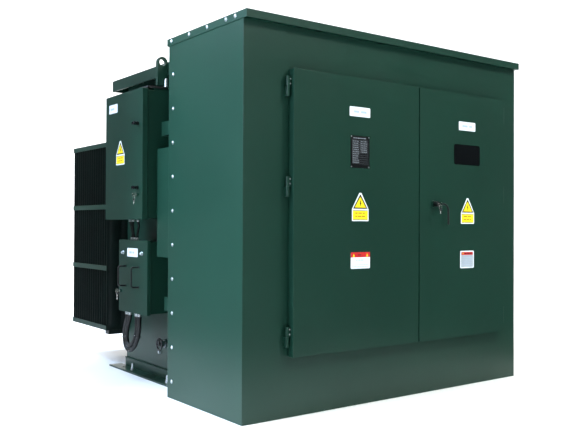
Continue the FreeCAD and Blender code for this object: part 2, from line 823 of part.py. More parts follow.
def crank(x, z, arm):
    """A hook-stick handle: shaft in the neck, hub and a flat arm with an eye."""
    neck_y = tank_front - operator_flange_depth - operator_neck_length
    hub_y = neck_y - 1
    back = hub_y - crank_hub_depth
    shaft = rod((x, tank_front - 1, z), (0, -1, 0), operator_bore - running_clearance,
                tank_front - hub_y)
    hub = rod((x, hub_y, z), (0, -1, 0), crank_hub_radius, crank_hub_depth)
    bar = box(x - crank_width / 2, x + crank_width / 2, back, back + crank_thickness, z, z + arm)
    end = rod((x, back, z + arm), (0, 1, 0), crank_eye_radius * 2, crank_thickness)
    eye = rod((x, back - 1, z + arm), (0, 1, 0), crank_eye_radius, crank_thickness + 2)
    return fused([shaft, hub, bar, end]).cut(eye)


def relief_valve(x, z):
    """The fixed body of the pressure relief valve, bored for its pull stem."""
    cap_y = tank_front - relief_hex_depth
    body = fused([hexagon((x, tank_front, z), (0, -1, 0), relief_hex_radius, relief_hex_depth),
                  rod((x, cap_y, z), (0, -1, 0), relief_cap_radius, relief_cap_depth)])
    return body.cut(rod((x, relief_bore_y, z), (0, -1, 0), relief_stem_radius, relief_cap_depth))


relief_bore_y = tank_front - relief_hex_depth - 16.0


def make_operating_gear():
    level = from_left(level_gauge_place)
    heat = from_right(thermometer_place)
    relief_x, relief_z = from_right(relief_place)
    switch = from_left(switch_place)
    tap = from_left(tap_place)
    write("switch_and_gauge_cases", [gauge_case(*level), gauge_case(*heat), operator_neck(*switch),
                                     operator_neck(*tap), relief_valve(relief_x, relief_z)])
    write("level_pointer", gauge_pointer(*level, level_angle))
    write("temperature_pointer", gauge_pointer(*heat, temperature_angle))
    write("load_break_handle", crank(*switch, switch_arm))
    write("tap_changer_handle", crank(*tap, tap_arm))
    stem = rod((relief_x, relief_bore_y - 1, relief_z), (0, -1, 0),
               relief_stem_radius - running_clearance, 30)
    pull = ring((relief_x, relief_bore_y - 45, relief_z), (1, 0, 0), relief_ring_radius,
                relief_ring_wire)
    write("relief_valve_ring", fused([stem, pull]))


# ---- Cabinet --------------------------------------------------------------------------------
wall_top = roof_top - 2 * sheet - 2
opening_left = left_door_left + frame_cover
opening_right = right_door_right - frame_cover
opening_bottom = door_bottom + frame_cover
opening_top = door_top - frame_cover


def make_cabinet():
    left = box(cabinet_left, cabinet_left + sheet, cabinet_front + sheet, tank_front, 0, wall_top)
    screw_holes = [rod((cabinet_left - 1, tank_front - side_screw_inset, z), (1, 0, 0),
                       screw_radius + hole_clearance, 20) for z in side_screw_heights()]
    left = bored(left, screw_holes)
    write("cabinet_left_side", left)
    write("cabinet_right_side", mirrored(left))

    frame = box(cabinet_left, cabinet_right, cabinet_front, cabinet_front + sheet, 0, wall_top)
    frame = frame.cut(box(opening_left, opening_right, cabinet_front - 1, cabinet_front + sheet + 1,
                          opening_bottom, opening_top))
    write("cabinet_front_frame", frame)

    roof_left = cabinet_left - roof_side_clearance - sheet
    roof_front = cabinet_front - roof_front_overhang
    roof_back = tank_front + roof_rear_overhang
    outer = box(roof_left, -roof_left, roof_front, roof_back, roof_bottom, roof_top)
    inner = box(roof_left + sheet, -roof_left - sheet, roof_front + sheet, roof_back - sheet,
                roof_bottom - 1, roof_top - sheet)
    lip = box(roof_left + sheet, -roof_left - sheet, roof_front + sheet,
              roof_front + sheet + roof_lip, roof_bottom, roof_bottom + sheet)
    holes = [rod((roof_left - 1, cabinet_front + y, roof_bottom + roof_screw_height), (1, 0, 0),
                 screw_radius + hole_clearance, 2 * sheet) for y in roof_screw_places]
    write("cabinet_roof", bored(fused([outer.cut(inner), lip]), both_sides(holes)))

    barrier = box(split_x - sheet / 2, split_x + sheet / 2, cabinet_front + barrier_front_gap,
                  tank_front, 0, wall_top - 10)
    write("compartment_barrier", barrier)

    screws = []
    for z in side_screw_heights():
        y = tank_front - side_screw_inset
        shank = rod((cabinet_left, y, z), (1, 0, 0), screw_radius, 14)
        screws.append(fused([shank, dome((cabinet_left, y, z), (-1, 0, 0), dome_radius, dome_height)]))
    for y in roof_screw_places:
        place = (roof_left, cabinet_front + y, roof_bottom + roof_screw_height)
        shank = rod(place, (1, 0, 0), screw_radius, sheet + roof_side_clearance)
        screws.append(fused([shank, dome(place, (-1, 0, 0), dome_radius, dome_height)]))
    write("cabinet_screws", both_sides(screws))


def sign_plate(x, z, width, height, face_y):
    """A warning sign: a triangle over a rectangle, on the door's front face."""
    shoulder = z + height * sign_shoulder
    outline = ((x - width / 2, face_y, z), (x + width / 2, face_y, z),
               (x + width / 2, face_y, shoulder), (x + sign_tip, face_y, z + height),
               (x - sign_tip, face_y, z + height), (x - width / 2, face_y, shoulder))
    return plate(outline, plate_thickness, (0, -1, 0))


def flat_label(x, z, width, height, face_y):
    return box(x - width / 2, x + width / 2, face_y - plate_thickness, face_y, z, z + height)


def door_hinges(side_x, pin_x):
    """Knuckle with pin on the frame, and leaf on the door, for each height."""
    brackets_made, leaves = [], []
    half = hinge_length / 2
    for height in hinge_heights:
        knuckle = rod((pin_x, hinge_y, height), (0, 0, 1), hinge_radius, half)
        foot = box(pin_x - hinge_foot_width / 2, pin_x + hinge_foot_width / 2, hinge_y,
                   cabinet_front, height, height + half)
        pin = rod((pin_x, hinge_y, height), (0, 0, 1), hinge_pin_radius, hinge_length - 4)
        brackets_made.append(fused([knuckle, foot, pin]))
        low = height + half + hinge_leaf_gap
        upper = rod((pin_x, hinge_y, low), (0, 0, 1), hinge_radius, half)
        flat = box(min(pin_x, side_x), max(pin_x, side_x), hinge_y - 4,
                   hinge_y - 4 + hinge_leaf_thickness, low, low + half)
        bore = rod((pin_x, hinge_y, low - 1), (0, 0, 1), hinge_pin_radius + running_clearance,
                   half - 2)
        leaves.append(fused([upper, flat]).cut(bore))
    return brackets_made, leaves


def door_pan(x0, x1):
    return pan(x0, x1, door_front, door_back, door_bottom, door_top, sheet, "+y", door_corner)


def door_plates(centre, labels, sign):
    """The flat labels and the sign of one door."""
    plates = [flat_label(centre + offset, *rest, door_front) for offset, *rest in labels]
    offset, *rest = sign
    return plates + [sign_plate(centre + offset, *rest, door_front)]


def make_doors():
    write("left_door", door_pan(left_door_left, left_door_right))
    boss = rod((lock_x, door_front, lock_height), (0, -1, 0), lock_boss_radius, lock_boss_height)
    spindle_hole = rod((lock_x, door_front - lock_boss_height - 1, lock_height), (0, 1, 0),
                       spindle_radius + running_clearance, lock_boss_height + sheet + 2)
    right = door_pan(right_door_left, right_door_right)
    write("right_door", fused([right, boss]).cut(spindle_hole))

    left_brackets, left_leaves = door_hinges(left_door_left, left_door_left - hinge_offset)
    right_brackets, right_leaves = door_hinges(right_door_right, right_door_right + hinge_offset)
    write("left_door_hinge_leaves", left_leaves)
    write("right_door_hinge_leaves", right_leaves)

    middle = (left_door_left + left_door_right) / 2
    write("left_door_plates", door_plates(middle, left_door_labels, left_door_sign))
    middle = (right_door_left + right_door_right) / 2
    offset, *rest = right_door_window
    window = rounded(flat_label(middle + offset, *rest, door_front), 1, window_corner)
    write("right_door_plates", door_plates(middle, right_door_labels, right_door_sign) + [window])
    return left_brackets + right_brackets


def make_lock():
    hub_back = door_front - lock_boss_height - hub_gap
    mouth_y = hub_back - handle_hub_depth
    rod_y = hub_back - handle_hub_depth / 2
    cam_y = door_back + cam_behind_door
    hub = rod((lock_x, hub_back, lock_height), (0, -1, 0), handle_hub_radius, handle_hub_depth)
    spindle = rod((lock_x, hub_back, lock_height), (0, 1, 0), spindle_radius, cam_y - hub_back)
    grip = tube([(lock_x + handle_hub_radius - 4, rod_y, lock_height),
                 (lock_x + handle_arm, rod_y, lock_height),
                 (lock_x + handle_arm, rod_y, lock_height - handle_drop)], handle_rod_radius)
    key_way = rod((lock_x, mouth_y - 1, lock_height), (0, 1, 0), key_radius + running_clearance,
                  key_insert + 3)
    write("door_handle", fused([hub, spindle, grip]).cut(key_way))

    half = cam_length / 2
    bar = box(lock_x - half, lock_x + half, cam_y, cam_y + cam_thickness,
              lock_height - cam_height / 2, lock_height + cam_height / 2)
    pins = [rod((lock_x + side * (half - 2 * cam_pin_radius), cam_y, lock_height), (0, 1, 0),
                cam_pin_radius, cam_pin_length) for side in (-1, 1)]
    write("latch_cam", fused([bar] + pins))

    rod_line = cam_y + cam_thickness + latch_rod_gap + latch_rod_radius
    upper_root = lock_height + latch_root
    lower_root = lock_height - latch_root
    lower_tip = opening_bottom + latch_tip_gap
    write("upper_latch_rod", rod((lock_x + latch_rod_offset, rod_line, upper_root), (0, 0, 1),
                                 latch_rod_radius, opening_top - latch_tip_gap - upper_root))
    write("lower_latch_rod", rod((lock_x - latch_rod_offset, rod_line, lower_tip), (0, 0, 1),
                                 latch_rod_radius, lower_root - lower_tip))
    write("door_keys", key_bunch((lock_x, mouth_y, lock_height), (0, -1, 0)))


def key_bunch(mouth, outward):
    """A key in its lock with the ring and the spare key that hang from it."""
    out = V(*outward)
    at = V(*mouth)
    along = V(0, 0, 1).cross(out)
    half = key_thickness / 2
    blade = rod(tuple(at - out * key_insert), outward, key_radius, key_insert + key_neck)
    middle = at + out * (key_neck + key_bow_radius)
    bow = rod(tuple(middle - along * half), tuple(along), key_bow_radius, key_thickness)
    eye = rod(tuple(middle - along * key_thickness - V(0, 0, key_bow_radius / 2)), tuple(along),
              3, 2 * key_thickness)
    link = ring(tuple(middle - V(0, 0, key_bow_radius * 1.6)), outward, key_bow_radius,
                key_ring_wire)
    spare = middle - V(0, 0, spare_drop)
    spare_bow = rod(tuple(spare - out * half), outward, spare_bow_radius, key_thickness)
    shank = rod(tuple(spare - V(0, 0, spare_bow_radius * 0.8)), (0, 0, -1), 3, spare_shank)
    return fused([blade, bow.cut(eye), link, spare_bow, shank])


# ---- Control box ----------------------------------------------------------------------------
def open_box(mouth_x, y0, y1, z0, z1):
    """A sheet box on the tank wall, open towards -X, with a lip folded out around its mouth."""
    outer = rounded(box(mouth_x, tank_left, y0, y1, z0, z1), 0, box_corner)
    lip = rounded(box(mouth_x, mouth_x + sheet, y0 - box_lip, y1 + box_lip, z0 - box_lip,
                      z1 + box_lip), 0, box_corner)
    inner = box(mouth_x - 1, tank_left - sheet, y0 + sheet, y1 - sheet, z0 + sheet, z1 - sheet)
    return fused([outer, lip]).cut(inner)


def box_inner(start, end):
    """The two sides of a box whose lip stays inside the outline of its door."""
    return start + box_lip + box_inset, end - box_lip - box_inset


def box_hinge(pin_x, pin_y, height, foot_y):
    """One hinge of the control box: knuckle, pin and foot on the box, and the door's leaf."""
    knuckle = rod((pin_x, pin_y, height), (0, 0, 1), box_hinge_radius, box_hinge_length)
    pin = rod((pin_x, pin_y, height), (0, 0, 1), box_hinge_pin_radius, 2 * box_hinge_length - 2)
    top = height + box_hinge_length
    arm = box(pin_x, control_mouth + sheet, pin_y - 3, pin_y + 3, height, top)
    foot = box(control_mouth, control_mouth + sheet, foot_y, pin_y + 3, height, top)
    low = top + 1
    upper = rod((pin_x, pin_y, low), (0, 0, 1), box_hinge_radius, box_hinge_length)
    flat = box(pin_x - 3, pin_x + 3, control_rear_y - 1, pin_y, low, low + box_hinge_length)
    bore = rod((pin_x, pin_y, low - 1), (0, 0, 1), box_hinge_pin_radius + running_clearance,
               box_hinge_length - 1)
    return fused([knuckle, pin, arm, foot]), fused([upper, flat]).cut(bore)


def cylinder_lock(face_x, y, z):
    """A lock's barrel on a cover's face, and the key way to cut through both."""
    barrel = rod((face_x, y, z), (-1, 0, 0), lock_radius, lock_length)
    key_way = rod((face_x - lock_length - 1, y, z), (1, 0, 0), key_radius + running_clearance,
                  key_insert + 4)
    return barrel, key_way


def control_knob(z):
    """A wing knob on its shaft, with the cam that holds the door."""
    face = control_door_x
    neck = rod((face - 0.5, knob_y, z), (-1, 0, 0), knob_neck_radius, 8)
    grip = rounded(box(face - knob_depth, face - 8, knob_y - knob_radius, knob_y + knob_radius,
                       z - 9, z + 9), 0, 8)
    shaft = rod((face - 1, knob_y, z), (1, 0, 0), knob_shaft_radius, knob_shaft_length)
    cam = box(face + knob_shaft_length - 7, face + knob_shaft_length - 3, knob_y - 9, knob_y + 9,
              z - knob_cam_drop, z + 9)
    return fused([neck, grip, shaft, cam])


def make_control_box():
    y0, y1 = box_inner(control_front_y, control_rear_y)
    z0, z1 = box_inner(control_bottom, control_top)
    gland_holes = [rod((x, y, z0 - 1), (0, 0, 1), cable_radius + gland_hole_clearance, 10)
                   for x, y in gland_places(control_glands)]
    body = bored(open_box(control_mouth, y0, y1, z0, z1), gland_holes)
    hood_bottom = control_top + hood_gap
    hood = box(control_mouth - 2, tank_left, control_front_y + 4, control_rear_y - 4,
               hood_bottom, hood_bottom + hood_thickness)
    collar = box(control_mouth + hood_collar_setback, tank_left, y0, y1, z1 - sheet, hood_bottom)
    write("control_box_body", fused([body, collar, hood]))

    pin_x = control_door_x + control_door_depth - box_hinge_setback
    pin_y = control_rear_y + box_hinge_offset
    hinges = [box_hinge(pin_x, pin_y, control_bottom + place, y1 + box_lip)
              for place in box_hinge_places]
    door = pan(control_door_x, control_door_x + control_door_depth, control_front_y,
               control_rear_y, control_bottom, control_top, sheet, "+x", box_corner)
    knob_holes = [rod((control_door_x - 1, knob_y, control_bottom + h), (1, 0, 0),
                      knob_shaft_radius + running_clearance, 8) for h in knob_heights]
    lock_z = control_bottom + knob_heights[1] - key_drop
    barrel, key_way = cylinder_lock(control_door_x, knob_y, lock_z)
    leaves = [leaf for bracket, leaf in hinges]
    write("control_box_door", bored(fused([door, barrel] + leaves), knob_holes + [key_way]))
    write("control_keys", key_bunch((control_door_x - lock_length, knob_y, lock_z), (-1, 0, 0)))
    for name, height in zip(("control_upper_knob", "control_lower_knob"), knob_heights):
        write(name, control_knob(control_bottom + height))
    write("control_door_plates", control_plates())
    write("control_terminals", terminals(y0, y1, z0, z1))
    return [bracket for bracket, leaf in hinges]


def control_plates():
    """The sign and the label on the control box's door."""
    face = control_door_x
    along, up, width, height = control_sign_place
    y, z = control_front_y + along, control_bottom + up
    shoulder = z + height * sign_shoulder * 0.9
    outline = [(face, y - width / 2, z), (face, y + width / 2, z), (face, y + width / 2, shoulder),
               (face, y + sign_tip, z + height), (face, y - sign_tip, z + height),
               (face, y - width / 2, shoulder)]
    along, up, width, height = control_label_place
    y, z = control_front_y + along, control_bottom + up
    label = box(face - plate_thickness, face, y - width / 2, y + width / 2, z, z + height)
    return [plate(outline, plate_thickness, (-1, 0, 0)), label]


def terminals(y0, y1, z0, z1):
    """Back plate on stand-offs, rails, and a row of terminal blocks on each rail."""
    wall = tank_left - sheet
    plate_back = wall - back_plate_gap
    plate_face = plate_back - back_plate_thickness
    rail_face = plate_face - rail_depth
    margin = 34
    made = [box(plate_face, plate_back, y0 + margin, y1 - margin, z0 + 40, z1 - 40)]
    made += [rod((plate_back, y, z), (1, 0, 0), 5, back_plate_gap)
             for y in (y0 + 50, y1 - 50) for z in (z0 + 60, z1 - 60)]
    for row in terminal_rows:
        z = z0 + row
        made.append(box(rail_face, plate_face, y0 + 50, y1 - 50, z - rail_height / 2,
                        z + rail_height / 2))
        for i in range(terminal_count):
            y = y0 + 60 + i * terminal_pitch
            made.append(box(rail_face - terminal_depth, rail_face, y, y + terminal_width,
                            z - terminal_height / 2, z + terminal_height / 2))
    return made


def gland_places(distances):
    """Cable entries in a row behind the boxes' mouths, as (x, y)."""
    return [(tank_left - gland_setback, control_front_y + d) for d in distances]


# ---- Junction box ---------------------------------------------------------------------------
def make_junction_box():
    y0, y1 = box_inner(junction_front_y, junction_rear_y)
    z0, z1 = box_inner(junction_bottom, junction_top)
    body = open_box(junction_mouth, y0, y1, z0, z1)
    holes = [rod((x, y, z1 - 10), (0, 0, 1), cable_radius + gland_hole_clearance, 20)
             for x, y in gland_places(junction_glands)]
    holes += [rod((x, y, z0 - 10), (0, 0, 1), conduit_gland_radius - 3, 20)
              for x, y, _ in conduit_ends()]
    write("junction_box_body", bored(body, holes))

    face = junction_cover_x
    cover = pan(face, face + junction_cover_depth, junction_front_y, junction_rear_y,
                junction_bottom, junction_top, sheet, "+x", box_corner)
    from_rear, from_bottom = junction_lock_inset
    lock_y, lock_z = junction_rear_y - from_rear, junction_bottom + from_bottom
    barrel, key_way = cylinder_lock(face, lock_y, lock_z)
    write("junction_box_cover", fused([cover, barrel]).cut(key_way))
    write("junction_keys", key_bunch((face - lock_length, lock_y, lock_z), (-1, 0, 0)))

    handles = []
    low = junction_bottom + u_handle_bottom
    high = low + u_handle_height
    for place in u_handle_places:
        y = junction_front_y + place
        bar = u_bar(y, low, high, face, face - u_handle_standoff)
        feet = [rod((face, y, z), (-1, 0, 0), u_handle_foot_radius, u_handle_foot_thickness)
                for z in (low, high)]
        handles.append(fused([bar] + feet))
    write("junction_cover_handles", handles)
    write("junction_cover_nuts", [cap_nut(face, junction_front_y + place, junction_top - cover_nut_drop)
                                  for place in cover_nut_places])


def cap_nut(face, y, z):
    """A domed nut on a washer, on a face that looks towards -X."""
    washer = rod((face, y, z), (-1, 0, 0), cover_nut_radius + 2, 2)
    nut = hexagon((face - 2, y, z), (-1, 0, 0), cover_nut_radius, 8)
    cap = dome((face - 10, y, z), (-1, 0, 0), cover_nut_radius * 0.8, 7)
    return fused([washer, nut, cap])


def u_bar(y, low, high, face, out):
    """A round U-shaped pull bar that stands out from a face at x = face."""
    bend = u_handle_bend
    root = bend * (1 - math.sqrt(0.5))
    points = (V(face, y, low), V(out + bend, y, low), V(out + root, y, low + root),
              V(out, y, low + bend), V(out, y, high - bend), V(out + root, y, high - root),
              V(out + bend, y, high), V(face, y, high))
    edges = [Part.LineSegment(points[0], points[1]).toShape(),
             Part.Arc(points[1], points[2], points[3]).toShape(),
             Part.LineSegment(points[3], points[4]).toShape(),
             Part.Arc(points[4], points[5], points[6]).toShape(),
             Part.LineSegment(points[6], points[7]).toShape()]
    section = Part.Wire([Part.makeCircle(u_handle_radius, points[0], V(-1, 0, 0))])
    return Part.Wire(edges).makePipeShell([section], True, True)


# ---- Cables ---------------------------------------------------------------------------------
# The two conduits hang in a U below the junction box. Their points are chosen by hand.
outer_conduit_route = ((-992, 141, 399), (-992, 143, 376), (-993, 172, 320), (-991, 188, 255),
                       (-992, 168, 196), (-994, 108, 170), (-992, 38, 203), (-991, -11, 272),
                       (-992, -27, 345), (-992, -28, 399))
inner_conduit_route = ((-992, 105, 399), (-992, 106, 376), (-993, 139, 318), (-991, 156, 255),
                       (-992, 142, 217), (-994, 108, 201), (-992, 62, 224), (-991, 18, 283),
                       (-992, 7, 345), (-992, 8, 399))


def conduit_ends():
    """The four places where the conduits meet their glands."""
    return [end for route in (outer_conduit_route, inner_conduit_route)
            for end in (route[0], route[-1])]


def gland(x, y, z, up, nut_radius, cap_radius, length):
    """A cable gland on a face at z: a nut with a cap that stands past it."""
    nut = hexagon((x, y, z), (0, 0, up), nut_radius, length / 2)
    cap = rod((x, y, z), (0, 0, up), cap_radius, length)
    return fused([nut, cap])


def make_cables():
    write("conduit_outer", tube(outer_conduit_route, conduit_radius))
    write("conduit_inner", tube(inner_conduit_route, conduit_radius))
    cables, glands = [], []
    control_floor = box_inner(control_bottom, control_top)[0]
    junction_floor, junction_lid = box_inner(junction_bottom, junction_top)
    z_high = control_floor - gland_length
    z_low = junction_lid + gland_length
    step = (z_high - z_low) / 4
    nut_radius, cap_radius = cable_radius + 6, cable_radius + 3
    pairs = zip(gland_places(control_glands), gland_places(junction_glands))
    for number, (high, low) in enumerate(pairs):
        bow = -6 if number % 2 else 5
        route = ((*high, z_high), (high[0] + bow, high[1] - 3, z_high - step),
                 (low[0] + bow, low[1] + 4, z_low + step), (*low, z_low))
        cables.append(tube(route, cable_radius))
        glands.append(gland(*high, control_floor, -1, nut_radius, cap_radius, gland_length))
        glands.append(gland(*low, junction_lid, 1, nut_radius, cap_radius, gland_length))
    for x, y, _ in conduit_ends():
        glands.append(gland(x, y, junction_floor, -1, conduit_gland_radius, conduit_radius + 2,
                            conduit_gland_length))
    write("control_cables", cables)
    write("cable_glands", glands)


# ---- Duct, brackets, valve ------------------------------------------------------------------
def make_side_fittings():
    y0 = bulkhead_back
    duct = box(tank_left - duct_depth, tank_left, y0, y0 + duct_width, duct_bottom,
               duct_bottom + duct_height)
    duct = rounded(duct, 0, box_corner * 1.5)
    hollow = box(tank_left - duct_depth + sheet, tank_left + 1, y0 + sheet, y0 + duct_width - sheet,
                 duct_bottom + sheet, duct_bottom + duct_height - sheet)
    write("cable_duct", duct.cut(hollow))

    pieces = []
    out = tank_left - bracket_depth
    for bottom, height, width in brackets:
        face = box(out, out + bracket_thickness, y0, y0 + width, bottom, bottom + height)
        web = box(out + bracket_thickness, tank_left, y0 + width - bracket_thickness, y0 + width,
                  bottom, bottom + height)
        pieces += both_sides([face, web])
    pad_y, pad_z = tank_front + ground_pad_place[0], ground_pad_place[1]
    half_width, half_height = ground_pad_width / 2, ground_pad_height / 2
    pad = box(tank_left - ground_pad_thickness, tank_left, pad_y - half_width, pad_y + half_width,
              pad_z - half_height, pad_z + half_height)
    tapped = [rod((tank_left - ground_pad_thickness - 1, pad_y,
                   pad_z + side * ground_pad_spacing / 2), (1, 0, 0), ground_pad_hole,
                  ground_pad_thickness + 2) for side in (-1, 1)]
    pieces += both_sides([bored(pad, tapped)])
    write("side_brackets", pieces)


def make_valve():
    y, z = tank_front + valve_place[0], valve_place[1]
    end = tank_left - valve_reach
    branch_x = tank_left - valve_reach / 2 - 2
    bonnet = hexagon((tank_left - 24, y, z), (-1, 0, 0), valve_radius + 10, 18)
    body = fused([rod((tank_left, y, z), (-1, 0, 0), valve_flange_radius, 10),
                  rod((tank_left - 10, y, z), (-1, 0, 0), valve_radius, valve_reach - 10), bonnet,
                  rod((branch_x, y, z), (0, 1, 0), valve_radius - 2, valve_branch),
                  hexagon((branch_x, y + valve_branch, z), (0, 1, 0), valve_radius + 4, 14)])
    stem_bore = rod((end - 1, y, z), (1, 0, 0), valve_stem_radius + running_clearance, 20)
    write("drain_valve_body", body.cut(stem_bore))
    wheel_x = end - wheel_standoff
    hub = rod((wheel_x - 6, y, z), (1, 0, 0), 11, wheel_standoff)
    stem = rod((wheel_x, y, z), (1, 0, 0), valve_stem_radius, wheel_standoff + 12)
    rim = ring((wheel_x, y, z), (1, 0, 0), wheel_radius, wheel_wire)
    spokes = []
    for i in range(3):
        spoke = rod((wheel_x, y, z), (0, 0, 1), wheel_wire * 0.8, wheel_radius)
        spoke.rotate(V(wheel_x, y, z), V(1, 0, 0), 120 * i)
        spokes.append(spoke)
    write("drain_valve_handwheel", fused([hub, stem, rim] + spokes))


# ---- Assembly -------------------------------------------------------------------------------
os.makedirs("parts", exist_ok=True)
make_tank()
make_skids()
make_lugs()
make_core()
make_radiators()
make_bulkhead()
make_bushings()
make_operating_gear()
make_cabinet()
door_brackets = make_doors()
make_lock()
control_brackets = make_control_box()
write("hinge_brackets", door_brackets + control_brackets)
make_junction_box()
make_cables()
make_side_fittings()
make_valve()
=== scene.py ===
"""Looks of a three-phase pad-mounted transformer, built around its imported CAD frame.

Metres throughout, in the frame of the CAD model: +Z up, the doors face -Y, and the
radiators are at +Y. Places come from the frame's boxes where that was done. The others are
numbers that agree with this CAD model only, held as fields of the class that uses them or
written where they are used.
"""
import json
import logging
import math
import random
from dataclasses import dataclass, field
from enum import Enum
from typing import Callable, Iterable, Sequence

import bmesh
import bpy
from mathutils import Matrix, Vector


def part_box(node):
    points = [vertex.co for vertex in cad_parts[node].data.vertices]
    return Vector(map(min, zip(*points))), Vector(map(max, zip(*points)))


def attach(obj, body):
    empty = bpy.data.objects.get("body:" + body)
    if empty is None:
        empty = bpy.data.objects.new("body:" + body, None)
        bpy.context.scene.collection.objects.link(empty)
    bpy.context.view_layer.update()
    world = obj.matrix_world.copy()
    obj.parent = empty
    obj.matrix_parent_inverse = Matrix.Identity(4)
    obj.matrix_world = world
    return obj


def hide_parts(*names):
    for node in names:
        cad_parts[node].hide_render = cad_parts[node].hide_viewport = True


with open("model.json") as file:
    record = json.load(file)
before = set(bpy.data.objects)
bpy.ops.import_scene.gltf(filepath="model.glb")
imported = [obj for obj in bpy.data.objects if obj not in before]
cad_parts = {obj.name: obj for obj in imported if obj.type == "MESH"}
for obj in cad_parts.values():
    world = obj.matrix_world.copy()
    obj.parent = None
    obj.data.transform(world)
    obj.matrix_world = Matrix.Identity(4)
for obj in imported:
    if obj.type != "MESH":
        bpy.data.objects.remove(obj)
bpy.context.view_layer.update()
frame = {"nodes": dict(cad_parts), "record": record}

MM = 0.001
LOG = logging.getLogger("transformer")
Point = tuple[float, float, float]


class Axis(Enum):
    """A direction of the frame, as a unit vector."""

    RIGHT = (1.0, 0.0, 0.0)
    LEFT = (-1.0, 0.0, 0.0)
    REAR = (0.0, 1.0, 0.0)
    FRONT = (0.0, -1.0, 0.0)
    UP = (0.0, 0.0, 1.0)
    DOWN = (0.0, 0.0, -1.0)


# ---- Materials ----------------------------------------------------------------------------
def linear(code: str) -> tuple[float, float, float, float]:
    """Turn an sRGB hex colour to linear RGBA.

    Args:
        code: Six hex digits after a hash sign.

    Returns:
        Linear red, green, blue and an alpha of 1.
    """
    values = [int(code[i:i + 2], 16) / 255 for i in (1, 3, 5)]
    red, green, blue = (v / 12.92 if v <= 0.04045 else ((v + 0.055) / 1.055) ** 2.4 for v in values)
    return red, green, blue, 1.0


def add(tree: bpy.types.NodeTree, kind: str, links: dict | None = None, **settings) -> bpy.types.Node:
    """Add a node with its settings and links.

    Args:
        tree: The node tree to add to.
        kind: The node's type name.
        links: Output sockets for the node's inputs, by input name or index.
        settings: Node properties, or values of inputs whose name is the key with
            underscores for spaces.

    Returns:
        The new node.
    """
    made = tree.nodes.new(kind)
    for key, value in settings.items():
        if hasattr(made, key):
            setattr(made, key, value)
    for key, value in settings.items():
        if not hasattr(made, key):
            made.inputs[key.replace("_", " ")].default_value = value
    for key, socket in (links or {}).items():
        tree.links.new(socket, made.inputs[key])
    return made


def ramp(tree: bpy.types.NodeTree, factor: bpy.types.NodeSocket,
         stops: Sequence[tuple[float, tuple]]) -> bpy.types.NodeSocket:
    """Add a colour ramp and return its colour output.

    Args:
        tree: The material's tree.
        factor: What the ramp reads.
        stops: Pairs of place and linear colour.

    Returns:
        The ramp's colour socket.
    """
    made = add(tree, "ShaderNodeValToRGB", {"Fac": factor})
    elements = made.color_ramp.elements
    while len(elements) < len(stops):
        elements.new(0.5)
    for element, (place, colour) in zip(elements, stops):
        element.position = place
        element.color = colour
    return made.outputs["Color"]


